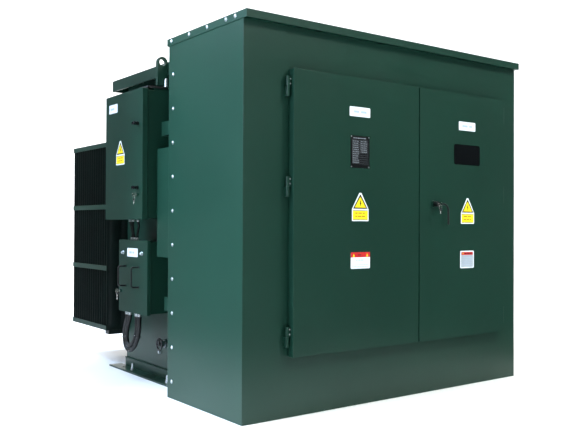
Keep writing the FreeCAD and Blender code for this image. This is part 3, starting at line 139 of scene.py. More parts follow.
@dataclass(frozen=True)
class Finish:
    """A surface: what it is made of and how it was finished.

    colour and shade are the two ends of its slow colour drift, drift_mm the size of
    that drift, grain_mm and grain_depth_mm the fine relief, and rough_drift how much the
    gloss varies.
    """

    name: str
    colour: str
    shade: str
    roughness: float
    metallic: float = 0.0
    drift_mm: float = 400.0
    grain_mm: float = 4.0
    grain_depth_mm: float = 0.02
    rough_drift: float = 0.06
    stretch: Point = (1.0, 1.0, 1.0)
    coat: float = 0.0
    ior: float = 1.5
    dust: str = ""
    dust_height: float = 0.35

    def material(self) -> bpy.types.Material:
        """Return the finish's material, made on first use."""
        found = bpy.data.materials.get(self.name)
        return found if found else self.build()

    def build(self) -> bpy.types.Material:
        """Build the node tree of a finish with drift, grain and settled dust."""
        made = bpy.data.materials.new(self.name)
        made.use_nodes = True
        tree = made.node_tree
        shader = tree.nodes["Principled BSDF"]
        place = add(tree, "ShaderNodeTexCoord").outputs["Object"]
        scaled = add(tree, "ShaderNodeMapping", {"Vector": place}, Scale=self.stretch).outputs[0]
        drift = add(tree, "ShaderNodeTexNoise", {"Vector": scaled},
                    Scale=1000 / self.drift_mm, Detail=4.0, Roughness=0.55)
        colour = ramp(tree, drift.outputs["Fac"],
                      [(0.3, linear(self.shade)), (0.7, linear(self.colour))])
        if self.dust:
            colour = self.add_dust(tree, place, drift.outputs["Fac"], colour)
        tree.links.new(colour, shader.inputs["Base Color"])
        smudge = add(tree, "ShaderNodeTexNoise", {"Vector": scaled}, Scale=3500 / self.drift_mm,
                     Detail=5.0)
        gloss = add(tree, "ShaderNodeMapRange", {"Value": smudge.outputs["Fac"]})
        gloss.inputs["To Min"].default_value = self.roughness - self.rough_drift
        gloss.inputs["To Max"].default_value = self.roughness + self.rough_drift
        tree.links.new(gloss.outputs[0], shader.inputs["Roughness"])
        grain = add(tree, "ShaderNodeTexNoise", {"Vector": scaled}, Scale=1000 / self.grain_mm,
                    Detail=2.0)
        bump = add(tree, "ShaderNodeBump", {"Height": grain.outputs["Fac"]}, Strength=1.0,
                   Distance=self.grain_depth_mm * MM)
        tree.links.new(bump.outputs["Normal"], shader.inputs["Normal"])
        shader.inputs["Metallic"].default_value = self.metallic
        shader.inputs["Coat Weight"].default_value = self.coat
        if not self.metallic:
            shader.inputs["IOR"].default_value = self.ior
        return made

    def add_dust(self, tree: bpy.types.NodeTree, place: bpy.types.NodeSocket,
                 drift: bpy.types.NodeSocket, colour: bpy.types.NodeSocket) -> bpy.types.NodeSocket:
        """Mix dust from the pad into the lowest stretch.

        Args:
            tree: The material's tree.
            place: Object coordinates.
            drift: The slow noise that breaks up the dust's edge.
            colour: The clean colour.

        Returns:
            The colour with dust on it.
        """
        height = add(tree, "ShaderNodeSeparateXYZ", {0: place}).outputs["Z"]
        low = add(tree, "ShaderNodeMapRange", {"Value": height})
        low.inputs["From Max"].default_value = self.dust_height
        low.inputs["To Min"].default_value = 0.08
        low.inputs["To Max"].default_value = 0.0
        amount = add(tree, "ShaderNodeMath", {0: low.outputs[0], 1: drift}, operation="MULTIPLY")
        mixed = add(tree, "ShaderNodeMix", {"Factor": amount.outputs[0], 6: colour},
                    data_type="RGBA")
        mixed.inputs[7].default_value = linear(self.dust)
        return mixed.outputs[2]


@dataclass(frozen=True)
class BrushedFinish(Finish):
    """A metal with fine lines along one axis, as left by drawing or brushing."""

    stretch: Point = (1.0, 1.0, 0.06)
    grain_mm: float = 1.6
    grain_depth_mm: float = 0.03


@dataclass(frozen=True)
class LaminatedFinish(Finish):
    """Stacked sheet, seen as fine lines along the stack's edge."""

    layer_mm: float = 6.0

    def build(self) -> bpy.types.Material:
        """Build the base finish and put the stack's lines in its relief."""
        made = super().build()
        tree = made.node_tree
        place = add(tree, "ShaderNodeTexCoord").outputs["Object"]
        lines = add(tree, "ShaderNodeTexWave", {"Vector": place}, wave_type="BANDS",
                    bands_direction="Y", Scale=1000 / self.layer_mm / 20, Distortion=0.4)
        bump = add(tree, "ShaderNodeBump", {"Height": lines.outputs["Fac"]},
                   Distance=0.8 * MM, Strength=1.0)
        tree.links.new(bump.outputs[0], tree.nodes["Principled BSDF"].inputs["Normal"])
        return made


@dataclass(frozen=True)
class WoundFinish(Finish):
    """Wound conductor, seen as turns one above another."""

    turn_mm: float = 9.0

    def build(self) -> bpy.types.Material:
        """Build the base finish and put the turns in its relief and colour."""
        made = super().build()
        tree = made.node_tree
        place = add(tree, "ShaderNodeTexCoord").outputs["Object"]
        lines = add(tree, "ShaderNodeTexWave", {"Vector": place}, wave_type="BANDS",
                    bands_direction="Z", Scale=1000 / self.turn_mm / 20, Distortion=0.1)
        bump = add(tree, "ShaderNodeBump", {"Height": lines.outputs["Fac"]},
                   Distance=2.0 * MM, Strength=1.0)
        tree.links.new(bump.outputs[0], tree.nodes["Principled BSDF"].inputs["Normal"])
        return made


# Dark green polyester powder coat on steel: a soft gloss with slight orange peel.
GREEN = Finish("powder_coated_steel_green", "#133429", "#112F25", 0.36, ior=1.34, drift_mm=900.0,
               grain_mm=5.0, grain_depth_mm=0.035, coat=0.0, dust="#7C8478")
# The same green paint, made far darker on the radiator panels and headers as painted shade for the dark
# gaps between the panels, and less even.
RADIATOR_GREEN_PAINTED_SHADE = Finish("flow_coated_radiator_green", "#0B1B18", "#071310", 0.42, drift_mm=120.0,
                   grain_mm=6.0, grain_depth_mm=0.05)
BLACK_RUBBER = Finish("extruded_epdm_black", "#111214", "#08090A", 0.55, drift_mm=60.0,
                      grain_mm=1.5, grain_depth_mm=0.05)
CABLE_JACKET = Finish("pvc_cable_jacket_black", "#08090B", "#050607", 0.50, drift_mm=80.0,
                      grain_mm=3.0, grain_depth_mm=0.04)
ZINC = Finish("bright_zinc_plated_steel", "#D9DDE0", "#B4B9BD", 0.28, 1.0, drift_mm=12.0,
              grain_mm=0.8, grain_depth_mm=0.01)
NICKEL = BrushedFinish("nickel_plated_brass", "#E6E4DF", "#C9C7C2", 0.18, 1.0, drift_mm=10.0)
BRASS = Finish("cast_brass", "#B99A52", "#8C7238", 0.36, 1.0, drift_mm=25.0, grain_mm=1.2,
               grain_depth_mm=0.06)
NICKEL_CAST = Finish("nickel_plated_casting", "#A9ADB1", "#7E8388", 0.30, 1.0, drift_mm=25.0,
                     grain_mm=1.2, grain_depth_mm=0.06)
BLACK_PLASTIC = Finish("moulded_abs_black", "#101113", "#0A0A0C", 0.26, drift_mm=40.0,
                       grain_mm=1.0, grain_depth_mm=0.02)
BLACK_STEEL = Finish("black_coated_steel_rod", "#121315", "#0B0C0D", 0.32, drift_mm=40.0,
                     grain_mm=1.0, grain_depth_mm=0.02)
GREY_PLASTIC = Finish("moulded_polyamide_grey", "#8F9494", "#7F8484", 0.5, drift_mm=30.0)
EPOXY = Finish("cast_epoxy_brown", "#6A3A26", "#522C1C", 0.22, drift_mm=90.0, coat=0.3)
CORE_STEEL = LaminatedFinish("laminated_core_steel", "#6F7275", "#53565A", 0.4, 1.0)
COIL_COPPER = WoundFinish("enamelled_copper_winding", "#B5642F", "#8A4822", 0.35, 1.0)
GASKET = Finish("nitrile_cork_gasket", "#3A3228", "#2A241D", 0.8, drift_mm=15.0)
WHITE_PRINT = Finish("printed_vinyl_white", "#E3E9EF", "#D8DEE5", 0.42, drift_mm=60.0)
YELLOW_PRINT = Finish("printed_vinyl_yellow", "#F7DC00", "#F0D000", 0.40, drift_mm=60.0)
BLACK_PRINT = Finish("printed_vinyl_black", "#141414", "#0C0C0C", 0.42, drift_mm=60.0)
RED_PRINT = Finish("printed_vinyl_red", "#C81A1C", "#B81416", 0.42, drift_mm=60.0)
GREY_PRINT = Finish("printed_vinyl_grey", "#A7AFB8", "#99A1AA", 0.45, drift_mm=60.0)
BLACK_PANEL = Finish("anodised_nameplate_black", "#0B0C0E", "#060708", 0.30, drift_mm=60.0)
SMOKED = Finish("smoked_acrylic_window", "#07080A", "#040506", 0.08, drift_mm=90.0, coat=0.5,
                grain_depth_mm=0.0)
DIAL_WHITE = Finish("enamelled_dial_white", "#E9E9E4", "#DEDED8", 0.35, drift_mm=30.0)
RED_PAINT = Finish("enamelled_pointer_red", "#C4151A", "#B01014", 0.35, drift_mm=20.0)
PALE_INK = Finish("screen_ink_slate", "#A9BACD", "#9DAFC4", 0.45, drift_mm=60.0)
OCHRE_INK = Finish("screen_ink_ochre", "#B98A00", "#A87C00", 0.45, drift_mm=60.0)
SILVER_INK = Finish("etched_line_silver", "#8E949B", "#7C828A", 0.35, drift_mm=60.0)
DARK_RED_INK = Finish("screen_ink_dark_red", "#7A0C10", "#6E0A0E", 0.45, drift_mm=60.0)


@dataclass(frozen=True)
class GlassFinish(Finish):
    """Clear flat glass."""

    def build(self) -> bpy.types.Material:
        """Build the base finish and let light through it."""
        made = super().build()
        shader = made.node_tree.nodes["Principled BSDF"]
        shader.inputs["Transmission Weight"].default_value = 1.0
        return made


DIAL_GLASS = GlassFinish("dial_glass", "#FFFFFF", "#FDFFFF", 0.03, rough_drift=0.01,
                         grain_depth_mm=0.0)

CAD_FINISH = {
    # radiator_paint takes the darkened green: painted shade between the radiator panels.
    "green_paint": GREEN, "radiator_paint": RADIATOR_GREEN_PAINTED_SHADE, "black_rubber": CABLE_JACKET,
    "gasket": GASKET, "zinc": ZINC, "core_steel": CORE_STEEL, "copper_coil": COIL_COPPER,
    "black_plastic": BLACK_PLASTIC, "label": WHITE_PRINT, "epoxy": EPOXY,
    "grey_terminal": GREY_PLASTIC, "red_pointer": RED_PAINT, "key_metal": NICKEL,
    "brass_valve": BRASS, "black_metal": BLACK_STEEL,
}


# ---- Mesh making --------------------------------------------------------------------------
def body_of_node(node: str) -> str:
    """Return the body that holds a CAD node."""
    bodies = frame["record"]["behaviour"]["bodies"]
    return next(body for body, nodes in bodies.items() if node in nodes)


def slot_of_node(node: str) -> str:
    """Return the record's material slot of a CAD node."""
    return next(s["material_slot"] for s in frame["record"]["subparts"] if s["node"] == node)


def smooth(thing: bpy.types.Object, angle: float = 32.0) -> None:
    """Shade an object smooth, with edges sharper than an angle in degrees kept sharp."""
    thing.data.shade_smooth()
    thing.data.set_sharp_from_angle(angle=math.radians(angle))


def report(thing: bpy.types.Object) -> bpy.types.Object:
    """Log a finished piece and return it."""
    LOG.info("%s: %d faces", thing.name, len(thing.data.polygons))
    return thing


@dataclass
class Shape:
    """A mesh in the making: closed solids, each with a finish, joined in one piece."""

    name: str
    mesh: bmesh.types.BMesh = field(default_factory=bmesh.new)
    finishes: list[Finish] = field(default_factory=list)

    def paint(self, faces: Iterable[bmesh.types.BMFace], finish: Finish) -> None:
        """Give faces a finish."""
        if finish not in self.finishes:
            self.finishes.append(finish)
        index = self.finishes.index(finish)
        for face in faces:
            face.material_index = index

    def box(self, low: Sequence[float], high: Sequence[float], finish: Finish,
            edge: float = 0.0, steps: int = 2) -> list[bmesh.types.BMVert]:
        """Add a box with rounded edges.

        Args:
            low: Lowest corner.
            high: Highest corner.
            finish: Its finish.
            edge: Radius of its edges, or 0.
            steps: Segments of each rounded edge.

        Returns:
            The box's vertices, before its edges were rounded.
        """
        low, high = Vector(low), Vector(high)
        made = bmesh.ops.create_cube(self.mesh, size=1.0)["verts"]
        for vert in made:
            vert.co = Vector(low[i] + (high[i] - low[i]) * (vert.co[i] + 0.5) for i in range(3))
        faces = {f for v in made for f in v.link_faces}
        self.paint(faces, finish)
        if edge > 0:
            edges = {e for v in made for e in v.link_edges}
            bmesh.ops.bevel(self.mesh, geom=list(edges), offset=edge, segments=steps,
                            profile=0.5, affect="EDGES", clamp_overlap=True)
        return made

    def lathe(self, start: Sequence[float], direction: Sequence[float],
              profile: Sequence[tuple[float, float]], finish: Finish, sides: int = 24) -> None:
        """Add a turned solid.

        Args:
            start: A point on its axis.
            direction: Its axis.
            profile: Pairs of radius and distance along the axis, from one end to the other.
            finish: Its finish.
            sides: Faces around it.
        """
        axis = Vector(direction).normalized()
        across = axis.orthogonal().normalized()
        other = axis.cross(across)
        rings = []
        for radius, along in profile:
            centre = Vector(start) + axis * along
            rings.append([self.mesh.verts.new(centre + (across * math.cos(a) + other * math.sin(a))
                                              * max(radius, 1e-5))
                          for a in (2 * math.pi * i / sides for i in range(sides))])
        faces = []
        for near, far in zip(rings, rings[1:]):
            for i in range(sides):
                j = (i + 1) % sides
                faces.append(self.mesh.faces.new((near[i], near[j], far[j], far[i])))
        faces.append(self.mesh.faces.new(list(reversed(rings[0]))))
        faces.append(self.mesh.faces.new(rings[-1]))
        self.paint(faces, finish)

    def rod(self, start: Sequence[float], direction: Sequence[float], radius: float,
            length: float, finish: Finish, edge: float = 0.0, sides: int = 24) -> None:
        """Add a cylinder, with its rims rounded by a radius."""
        profile = [(radius, 0.0), (radius, length)]
        if edge > 0:
            profile = [(radius - edge, 0.0), (radius - edge * 0.3, edge * 0.3), (radius, edge),
                       (radius, length - edge), (radius - edge * 0.3, length - edge * 0.3),
                       (radius - edge, length)]
        self.lathe(start, direction, profile, finish, sides)

    def tube(self, points: Sequence[Sequence[float]], radius: float, finish: Finish,
             sides: int = 12, closed: bool = False) -> None:
        """Add a round tube along points, with flat ends unless it is closed."""
        places = [Vector(p) for p in points]
        count = len(places)
        rings = []
        up = None
        for i, place in enumerate(places):
            before = places[i - 1] if (i or closed) else place
            after = places[(i + 1) % count] if (i + 1 < count or closed) else place
            along = (after - before).normalized()
            up = along.orthogonal() if up is None else up - along * up.dot(along)
            up.normalize()
            side = along.cross(up)
            rings.append([self.mesh.verts.new(place + (up * math.cos(a) + side * math.sin(a)) * radius)
                          for a in (2 * math.pi * k / sides for k in range(sides))])
        faces = []
        pairs = list(zip(rings, rings[1:])) + ([(rings[-1], rings[0])] if closed else [])
        for near, far in pairs:
            for k in range(sides):
                j = (k + 1) % sides
                faces.append(self.mesh.faces.new((near[k], near[j], far[j], far[k])))
        if not closed:
            faces.append(self.mesh.faces.new(list(reversed(rings[0]))))
            faces.append(self.mesh.faces.new(rings[-1]))
        self.paint(faces, finish)

    def prism(self, outline: Sequence[Sequence[float]], depth: Sequence[float],
              finish: Finish, edge: float = 0.0) -> None:
        """Add a flat outline pushed along a depth vector, with its edges rounded."""
        near = [self.mesh.verts.new(Vector(p)) for p in outline]
        far = [self.mesh.verts.new(Vector(p) + Vector(depth)) for p in outline]
        faces = [self.mesh.faces.new(near), self.mesh.faces.new(list(reversed(far)))]
        count = len(near)
        for i in range(count):
            j = (i + 1) % count
            faces.append(self.mesh.faces.new((near[j], near[i], far[i], far[j])))
        self.paint(faces, finish)
        if edge > 0:
            edges = {e for v in near + far for e in v.link_edges}
            bmesh.ops.bevel(self.mesh, geom=list(edges), offset=edge, segments=2, profile=0.5,
                            affect="EDGES", clamp_overlap=True)

    def finish_piece(self, body: str, replaces: Sequence[str] = (),
                     angle: float = 32.0) -> bpy.types.Object:
        """Turn the mesh to a piece that rides on a body.

        Args:
            body: The CAD body it moves with.
            replaces: CAD nodes that it stands for.
            angle: Edges sharper than this many degrees stay sharp.

        Returns:
            The finished piece.
        """
        bmesh.ops.recalc_face_normals(self.mesh, faces=self.mesh.faces)
        data = bpy.data.meshes.new(self.name)
        self.mesh.to_mesh(data)
        self.mesh.free()
        for finish in self.finishes:
            data.materials.append(finish.material())
        made = bpy.data.objects.new(self.name, data)
        return settle(made, body, replaces, angle)


def settle(made: bpy.types.Object, body: str, replaces: Sequence[str] = (),
           angle: float = 32.0) -> bpy.types.Object:
    """Link a piece to the scene, shade it, put it on its body and log it."""
    if made.name not in bpy.context.scene.collection.objects:
        bpy.context.scene.collection.objects.link(made)
    smooth(made, angle)
    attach(made, body)
    if replaces:
        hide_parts(*replaces)
    return report(made)


def baked(thing: bpy.types.Object) -> bpy.types.Object:
    """Turn an object's modifiers to a plain mesh and remove them."""
    bpy.context.view_layer.update()
    depsgraph = bpy.context.evaluated_depsgraph_get()
    data = bpy.data.meshes.new_from_object(thing.evaluated_get(depsgraph))
    name = thing.data.name
    thing.modifiers.clear()
    thing.data = data
    data.name = name + "_mesh"
    return thing


# ---- Geometry Nodes -----------------------------------------------------------------------
def node_tree(name: str, inputs: Sequence[tuple[str, str, object]]) -> bpy.types.NodeTree:
    """Make a Geometry Nodes tree with a geometry in and out and named inputs.

    Args:
        name: The tree's name.
        inputs: Triples of input name, socket type and value.

    Returns:
        The tree, with its group input and output nodes.
    """
    tree = bpy.data.node_groups.new(name, "GeometryNodeTree")
    tree.interface.new_socket("Geometry", in_out="INPUT", socket_type="NodeSocketGeometry")
    for label, kind, value in inputs:
        socket = tree.interface.new_socket(label, in_out="INPUT", socket_type=kind)
        if value is not None:
            socket.default_value = value
    tree.interface.new_socket("Geometry", in_out="OUTPUT", socket_type="NodeSocketGeometry")
    tree.nodes.new("NodeGroupInput")
    tree.nodes.new("NodeGroupOutput")
    return tree


def repeat_tree(name: str, material: bpy.types.Material, source: bpy.types.Object) -> bpy.types.NodeTree:
    """Build the tree that puts a copy of a source piece on every point of a mesh.

    Each point's "facing" attribute is the direction the copy's Z axis takes, and "turn"
    the angle about it. A small random turn and size comes from the fixed seed.

    Args:
        name: The tree's name.
        material: The material of the copies, or None to keep the source's own.
        source: The object that is copied.

    Returns:
        The finished tree.
    """
    tree = node_tree(name, [("Source", "NodeSocketObject", source), ("Seed", "NodeSocketInt", 7),
                            ("Random turn", "NodeSocketFloat", 0.0),
                            ("Random size", "NodeSocketFloat", 0.0)])
    start = tree.nodes["Group Input"].outputs
    info = add(tree, "GeometryNodeObjectInfo", {"Object": start["Source"]})
    facing = add(tree, "GeometryNodeInputNamedAttribute", data_type="FLOAT_VECTOR", Name="facing")
    aim = add(tree, "FunctionNodeAlignEulerToVector", {"Vector": facing.outputs["Attribute"]},
              axis="Z")
    spin = add(tree, "FunctionNodeRandomValue", {"Max": start["Random turn"], "Seed": start["Seed"]},
               data_type="FLOAT")
    spin_vector = add(tree, "ShaderNodeCombineXYZ", {"Z": spin.outputs[1]})
    turned = add(tree, "FunctionNodeRotateEuler",
                 {"Rotation": aim.outputs[0], "Rotate By": spin_vector.outputs[0]}, space="LOCAL")
    grow = add(tree, "FunctionNodeRandomValue", {"Max": start["Random size"], "Seed": start["Seed"]},
               data_type="FLOAT")
    size = add(tree, "ShaderNodeMath", {0: grow.outputs[1]}, operation="ADD")
    size.inputs[1].default_value = 1.0
    copies = add(tree, "GeometryNodeInstanceOnPoints",
                 {"Points": start["Geometry"], "Instance": info.outputs["Geometry"],
                  "Rotation": turned.outputs[0], "Scale": size.outputs[0]})
    real = add(tree, "GeometryNodeRealizeInstances", {"Geometry": copies.outputs[0]})
    dressed = add(tree, "GeometryNodeSetMaterial", {"Geometry": real.outputs[0]}, Material=material)
    tree.links.new(dressed.outputs[0], tree.nodes["Group Output"].inputs[0])
    return tree


def repeated(name: str, unit: Callable[[Shape], None], spots: Sequence[tuple[Point, Point]],
             finish: Finish, body: str, replaces: Sequence[str] = (),
             turn: float = 0.0, size: float = 0.0, seed: int = 7) -> bpy.types.Object:
    """Repeat a small unit at many spots with Geometry Nodes and bake it to one piece.

    Args:
        name: The piece's name.
        unit: Draws the unit into a shape, at the origin with its axis along +Z.
        spots: Pairs of place and facing direction.
        finish: The finish of all copies.
        body: The CAD body they move with.
        replaces: CAD nodes that they stand for.
        turn: Largest random turn about each copy's axis.
        size: Largest random growth, as a share.
        seed: Seed of the random values.

    Returns:
        The baked piece.
    """
    shape = Shape(name + "_unit")
    unit(shape)
    bmesh.ops.recalc_face_normals(shape.mesh, faces=shape.mesh.faces)
    unit_data = bpy.data.meshes.new(name + "_unit")
    shape.mesh.to_mesh(unit_data)
    shape.mesh.free()
    source = bpy.data.objects.new(name + "_unit", unit_data)
    bpy.context.scene.collection.objects.link(source)
    data = bpy.data.meshes.new(name)
    data.from_pydata([s[0] for s in spots], [], [])
    facing = data.attributes.new("facing", "FLOAT_VECTOR", "POINT")
    facing.data.foreach_set("vector", [c for s in spots for c in s[1]])
    made = bpy.data.objects.new(name, data)
    bpy.context.scene.collection.objects.link(made)
    tree = repeat_tree(name + "_tree", finish.material(), source)
    modifier = made.modifiers.new("repeat", "NODES")
    modifier.node_group = tree
    keys = {item.name: item.identifier for item in tree.interface.items_tree
            if item.in_out == "INPUT"}
    modifier[keys["Source"]] = source
    modifier[keys["Seed"]] = seed
    modifier[keys["Random turn"]] = turn
    modifier[keys["Random size"]] = size
    baked(made)
    bpy.data.objects.remove(source)
    bpy.data.node_groups.remove(tree)
    return settle(made, body, replaces)


# ---- Sheet metal: rounded copies of the CAD pieces ------------------------------------------
@dataclass(frozen=True)
class EdgeBreak:
    """How a CAD piece's edges are rounded in its finished copy."""

    node: str
    radius_mm: float
    finish: Finish
    steps: int = 2
    angle: float = 40.0

    def build(self) -> bpy.types.Object:
        """Copy the CAD piece, round its edges, and let the copy stand for it."""
        source = frame["nodes"][self.node]
        data = source.data.copy()
        mesh = bmesh.new()
        mesh.from_mesh(data)
        bmesh.ops.remove_doubles(mesh, verts=mesh.verts, dist=1e-5)
        bmesh.ops.dissolve_limit(mesh, angle_limit=math.radians(0.6), verts=mesh.verts,
                                 edges=mesh.edges)
        mesh.to_mesh(data)
        mesh.free()
        data.materials.clear()
        data.materials.append(self.finish.material())
        for polygon in data.polygons:
            polygon.material_index = 0
        made = bpy.data.objects.new(self.node + "_finished", data)
        bpy.context.scene.collection.objects.link(made)
        smooth(made, 180.0 if self.radius_mm else 32.0)
        if self.radius_mm > 0:
            modifier = made.modifiers.new("edges", "BEVEL")
            modifier.width = self.radius_mm * MM
            modifier.segments = self.steps
            modifier.limit_method = "ANGLE"
            modifier.angle_limit = math.radians(self.angle)
            modifier.use_clamp_overlap = True
            weighted = made.modifiers.new("flat faces", "WEIGHTED_NORMAL")
            weighted.weight = 100
            baked(made)
        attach(made, body_of_node(self.node))
        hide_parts(self.node)
        return report(made)


SHEET_METAL = (
    EdgeBreak("tank_body", 1.5, GREEN), EdgeBreak("tank_cover", 2.0, GREEN),
    EdgeBreak("base_skids", 1.5, GREEN), EdgeBreak("lifting_lugs", 2.0, GREEN),
    EdgeBreak("tank_front_plate", 1.0, GREEN), EdgeBreak("cabinet_left_side", 0.8, GREEN),
    EdgeBreak("cabinet_right_side", 0.8, GREEN), EdgeBreak("cabinet_front_frame", 1.0, GREEN),
    EdgeBreak("cabinet_roof", 1.2, GREEN), EdgeBreak("compartment_barrier", 0.8, GREEN),
    EdgeBreak("left_door", 2.0, GREEN, 3), EdgeBreak("right_door", 2.0, GREEN, 3),
    EdgeBreak("control_box_body", 0.8, GREEN), EdgeBreak("control_box_door", 1.2, GREEN, 3),
    EdgeBreak("junction_box_body", 0.8, GREEN), EdgeBreak("junction_box_cover", 1.2, GREEN, 3),
    EdgeBreak("cable_duct", 1.2, GREEN), EdgeBreak("side_brackets", 1.0, GREEN),
    EdgeBreak("hinge_brackets", 0.6, GREEN), EdgeBreak("left_door_hinge_leaves", 0.6, GREEN),
    EdgeBreak("right_door_hinge_leaves", 0.6, GREEN), EdgeBreak("radiator_straps", 0.8, GREEN),
    # The radiator headers take the darkened green: painted shade between the panels.
    EdgeBreak("radiator_headers", 1.5, RADIATOR_GREEN_PAINTED_SHADE), EdgeBreak("cover_gasket", 0.5, GASKET),
    EdgeBreak("core_laminations", 1.0, CORE_STEEL), EdgeBreak("core_clamps", 2.0, GREEN),
    EdgeBreak("hv_coils", 2.0, COIL_COPPER), EdgeBreak("lv_coils", 2.0, COIL_COPPER),
    EdgeBreak("tank_bolts", 0.6, ZINC), EdgeBreak("latch_cam", 0.6, ZINC),
    EdgeBreak("upper_latch_rod", 0.6, ZINC), EdgeBreak("lower_latch_rod", 0.6, ZINC),
    EdgeBreak("door_handle", 0.8, BLACK_STEEL), EdgeBreak("door_keys", 0.3, NICKEL),
    EdgeBreak("control_keys", 0.3, NICKEL), EdgeBreak("junction_keys", 0.3, NICKEL),
    EdgeBreak("control_upper_knob", 1.0, BLACK_PLASTIC, 3),
    EdgeBreak("control_lower_knob", 1.0, BLACK_PLASTIC, 3),
    EdgeBreak("junction_cover_handles", 0.4, BLACK_STEEL),
    EdgeBreak("junction_cover_nuts", 0.6, ZINC),
    EdgeBreak("drain_valve_body", 0.8, NICKEL_CAST), EdgeBreak("drain_valve_handwheel", 0.8, BLACK_STEEL),
    EdgeBreak("cable_glands", 0.5, ZINC), EdgeBreak("control_cables", 0.0, CABLE_JACKET),
    EdgeBreak("hv_bushings", 1.5, EPOXY, 3), EdgeBreak("lv_bushings", 1.5, EPOXY),
    EdgeBreak("switch_and_gauge_cases", 0.8, ZINC),
    EdgeBreak("load_break_handle", 0.8, BLACK_STEEL), EdgeBreak("tap_changer_handle", 0.8, BLACK_STEEL),
    EdgeBreak("level_pointer", 0.2, RED_PAINT), EdgeBreak("temperature_pointer", 0.2, RED_PAINT),
    EdgeBreak("relief_valve_ring", 0.2, ZINC),
)


# ---- Radiators ----------------------------------------------------------------------------
@dataclass
class Radiators:
    """Three banks of pressed-steel panels, each panel with vertical oil flutes."""

    banks: int = 3
    panels: int = 16
    flutes: int = 6
    seam_mm: float = 3.0
    flute_mm: float = 13.6
    taper: float = 0.055

    def outline(self, width: float, bulge: float) -> list[tuple[float, float]]:
        """Return one face's profile across the panel, as (across, out) pairs."""
        points = []
        margin = 0.014
        pitch = (width - 2 * margin) / self.flutes
        seam = self.seam_mm * MM / 2
        points.append((0.0, seam))
        points.append((margin * 0.7, seam))
        for k in range(self.flutes):
            base = margin + k * pitch
            for share, rise in ((0.06, 0.0), (0.16, 0.62), (0.30, 0.95), (0.5, 1.0),
                                (0.70, 0.95), (0.84, 0.62), (0.94, 0.0)):
                points.append((base + share * pitch, seam + rise * bulge))
        points.append((width - margin * 0.7, seam))
        points.append((width, seam))
        return points

    def panel(self, shape: Shape, width: float, height: float) -> None:
        """Draw one panel, centred, with its thickness along Z, its width along X."""
        full = self.flute_mm * MM / 2 - self.seam_mm * MM / 2
        levels = ((0.0, 0.0), (0.016, 0.0), (0.034, 0.75), (self.taper, 1.0),
                  (height - self.taper, 1.0), (height - 0.034, 0.75), (height - 0.016, 0.0),
                  (height, 0.0))
        rings = []
        for level, share in levels:
            face = self.outline(width, full * share)
            loop = [(x - width / 2, level - height / 2, z) for x, z in face]
            loop += [(x - width / 2, level - height / 2, -z) for x, z in reversed(face)]
            rings.append([shape.mesh.verts.new(p) for p in loop])
        faces = []
        for near, far in zip(rings, rings[1:]):
            count = len(near)
            for i in range(count):
                j = (i + 1) % count
                faces.append(shape.mesh.faces.new((near[i], near[j], far[j], far[i])))
        faces.append(shape.mesh.faces.new(rings[0]))
        faces.append(shape.mesh.faces.new(list(reversed(rings[-1]))))
        # Each panel takes the darkened green: painted shade for the gaps between the panels.
        shape.paint(faces, RADIATOR_GREEN_PAINTED_SHADE)

    def build(self) -> None:
        """Build every bank with Geometry Nodes and let them stand for the CAD panels."""
        low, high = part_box("radiator_panels")
        height = high.z - low.z
        width = (high.x - low.x - (self.banks - 1) * 0.068) / self.banks
        pitch_x = (high.x - low.x - width) / (self.banks - 1)
        pitch_y = (high.y - low.y - 0.014) / (self.panels - 1)
        spots = []
        for bank in range(self.banks):
            for k in range(self.panels):
                place = (low.x + width / 2 + bank * pitch_x, low.y + 0.007 + k * pitch_y,
                         (low.z + high.z) / 2)
                spots.append((place, Axis.FRONT.value))
        # All copies take the darkened green: painted shade between the panels.
        repeated("radiator_panels_fluted", lambda s: self.panel(s, width, height), spots,
                 RADIATOR_GREEN_PAINTED_SHADE, "transformer", ("radiator_panels",))


# ---- Printed plates -----------------------------------------------------------------------
@dataclass(frozen=True)
class Face:
    """A flat face to put plates on: an origin, the direction to its right, and outwards."""

    origin: Vector
    right: Vector
    out: Vector

    def at(self, across: float, up: float, lift: float = 0.0) -> Vector:
        """Return the point that many millimetres across, up and off the face."""
        return self.origin + (self.right * across + Vector((0, 0, up)) + self.out * lift) * MM

    def moved(self, across: float, up: float) -> "Face":
        """Return the same face with its origin moved, in millimetres."""
        return Face(self.at(across, up), self.right, self.out)


def rectangle(width: float, height: float, corner: float = 0.0,
              bottom: float = 0.0) -> list[tuple[float, float]]:
    """Return a rectangle about the origin's vertical line, with rounded corners, in mm."""
    half = width / 2
    if corner <= 0:
        return [(-half, bottom), (half, bottom), (half, bottom + height), (-half, bottom + height)]
    points = []
    for centre_x, centre_y, start in ((half - corner, bottom + corner, -90),
                                      (half - corner, bottom + height - corner, 0),
                                      (-half + corner, bottom + height - corner, 90),
                                      (-half + corner, bottom + corner, 180)):
        for step in range(5):
            angle = math.radians(start + step * 22.5)
            points.append((centre_x + corner * math.cos(angle), centre_y + corner * math.sin(angle)))
    return points


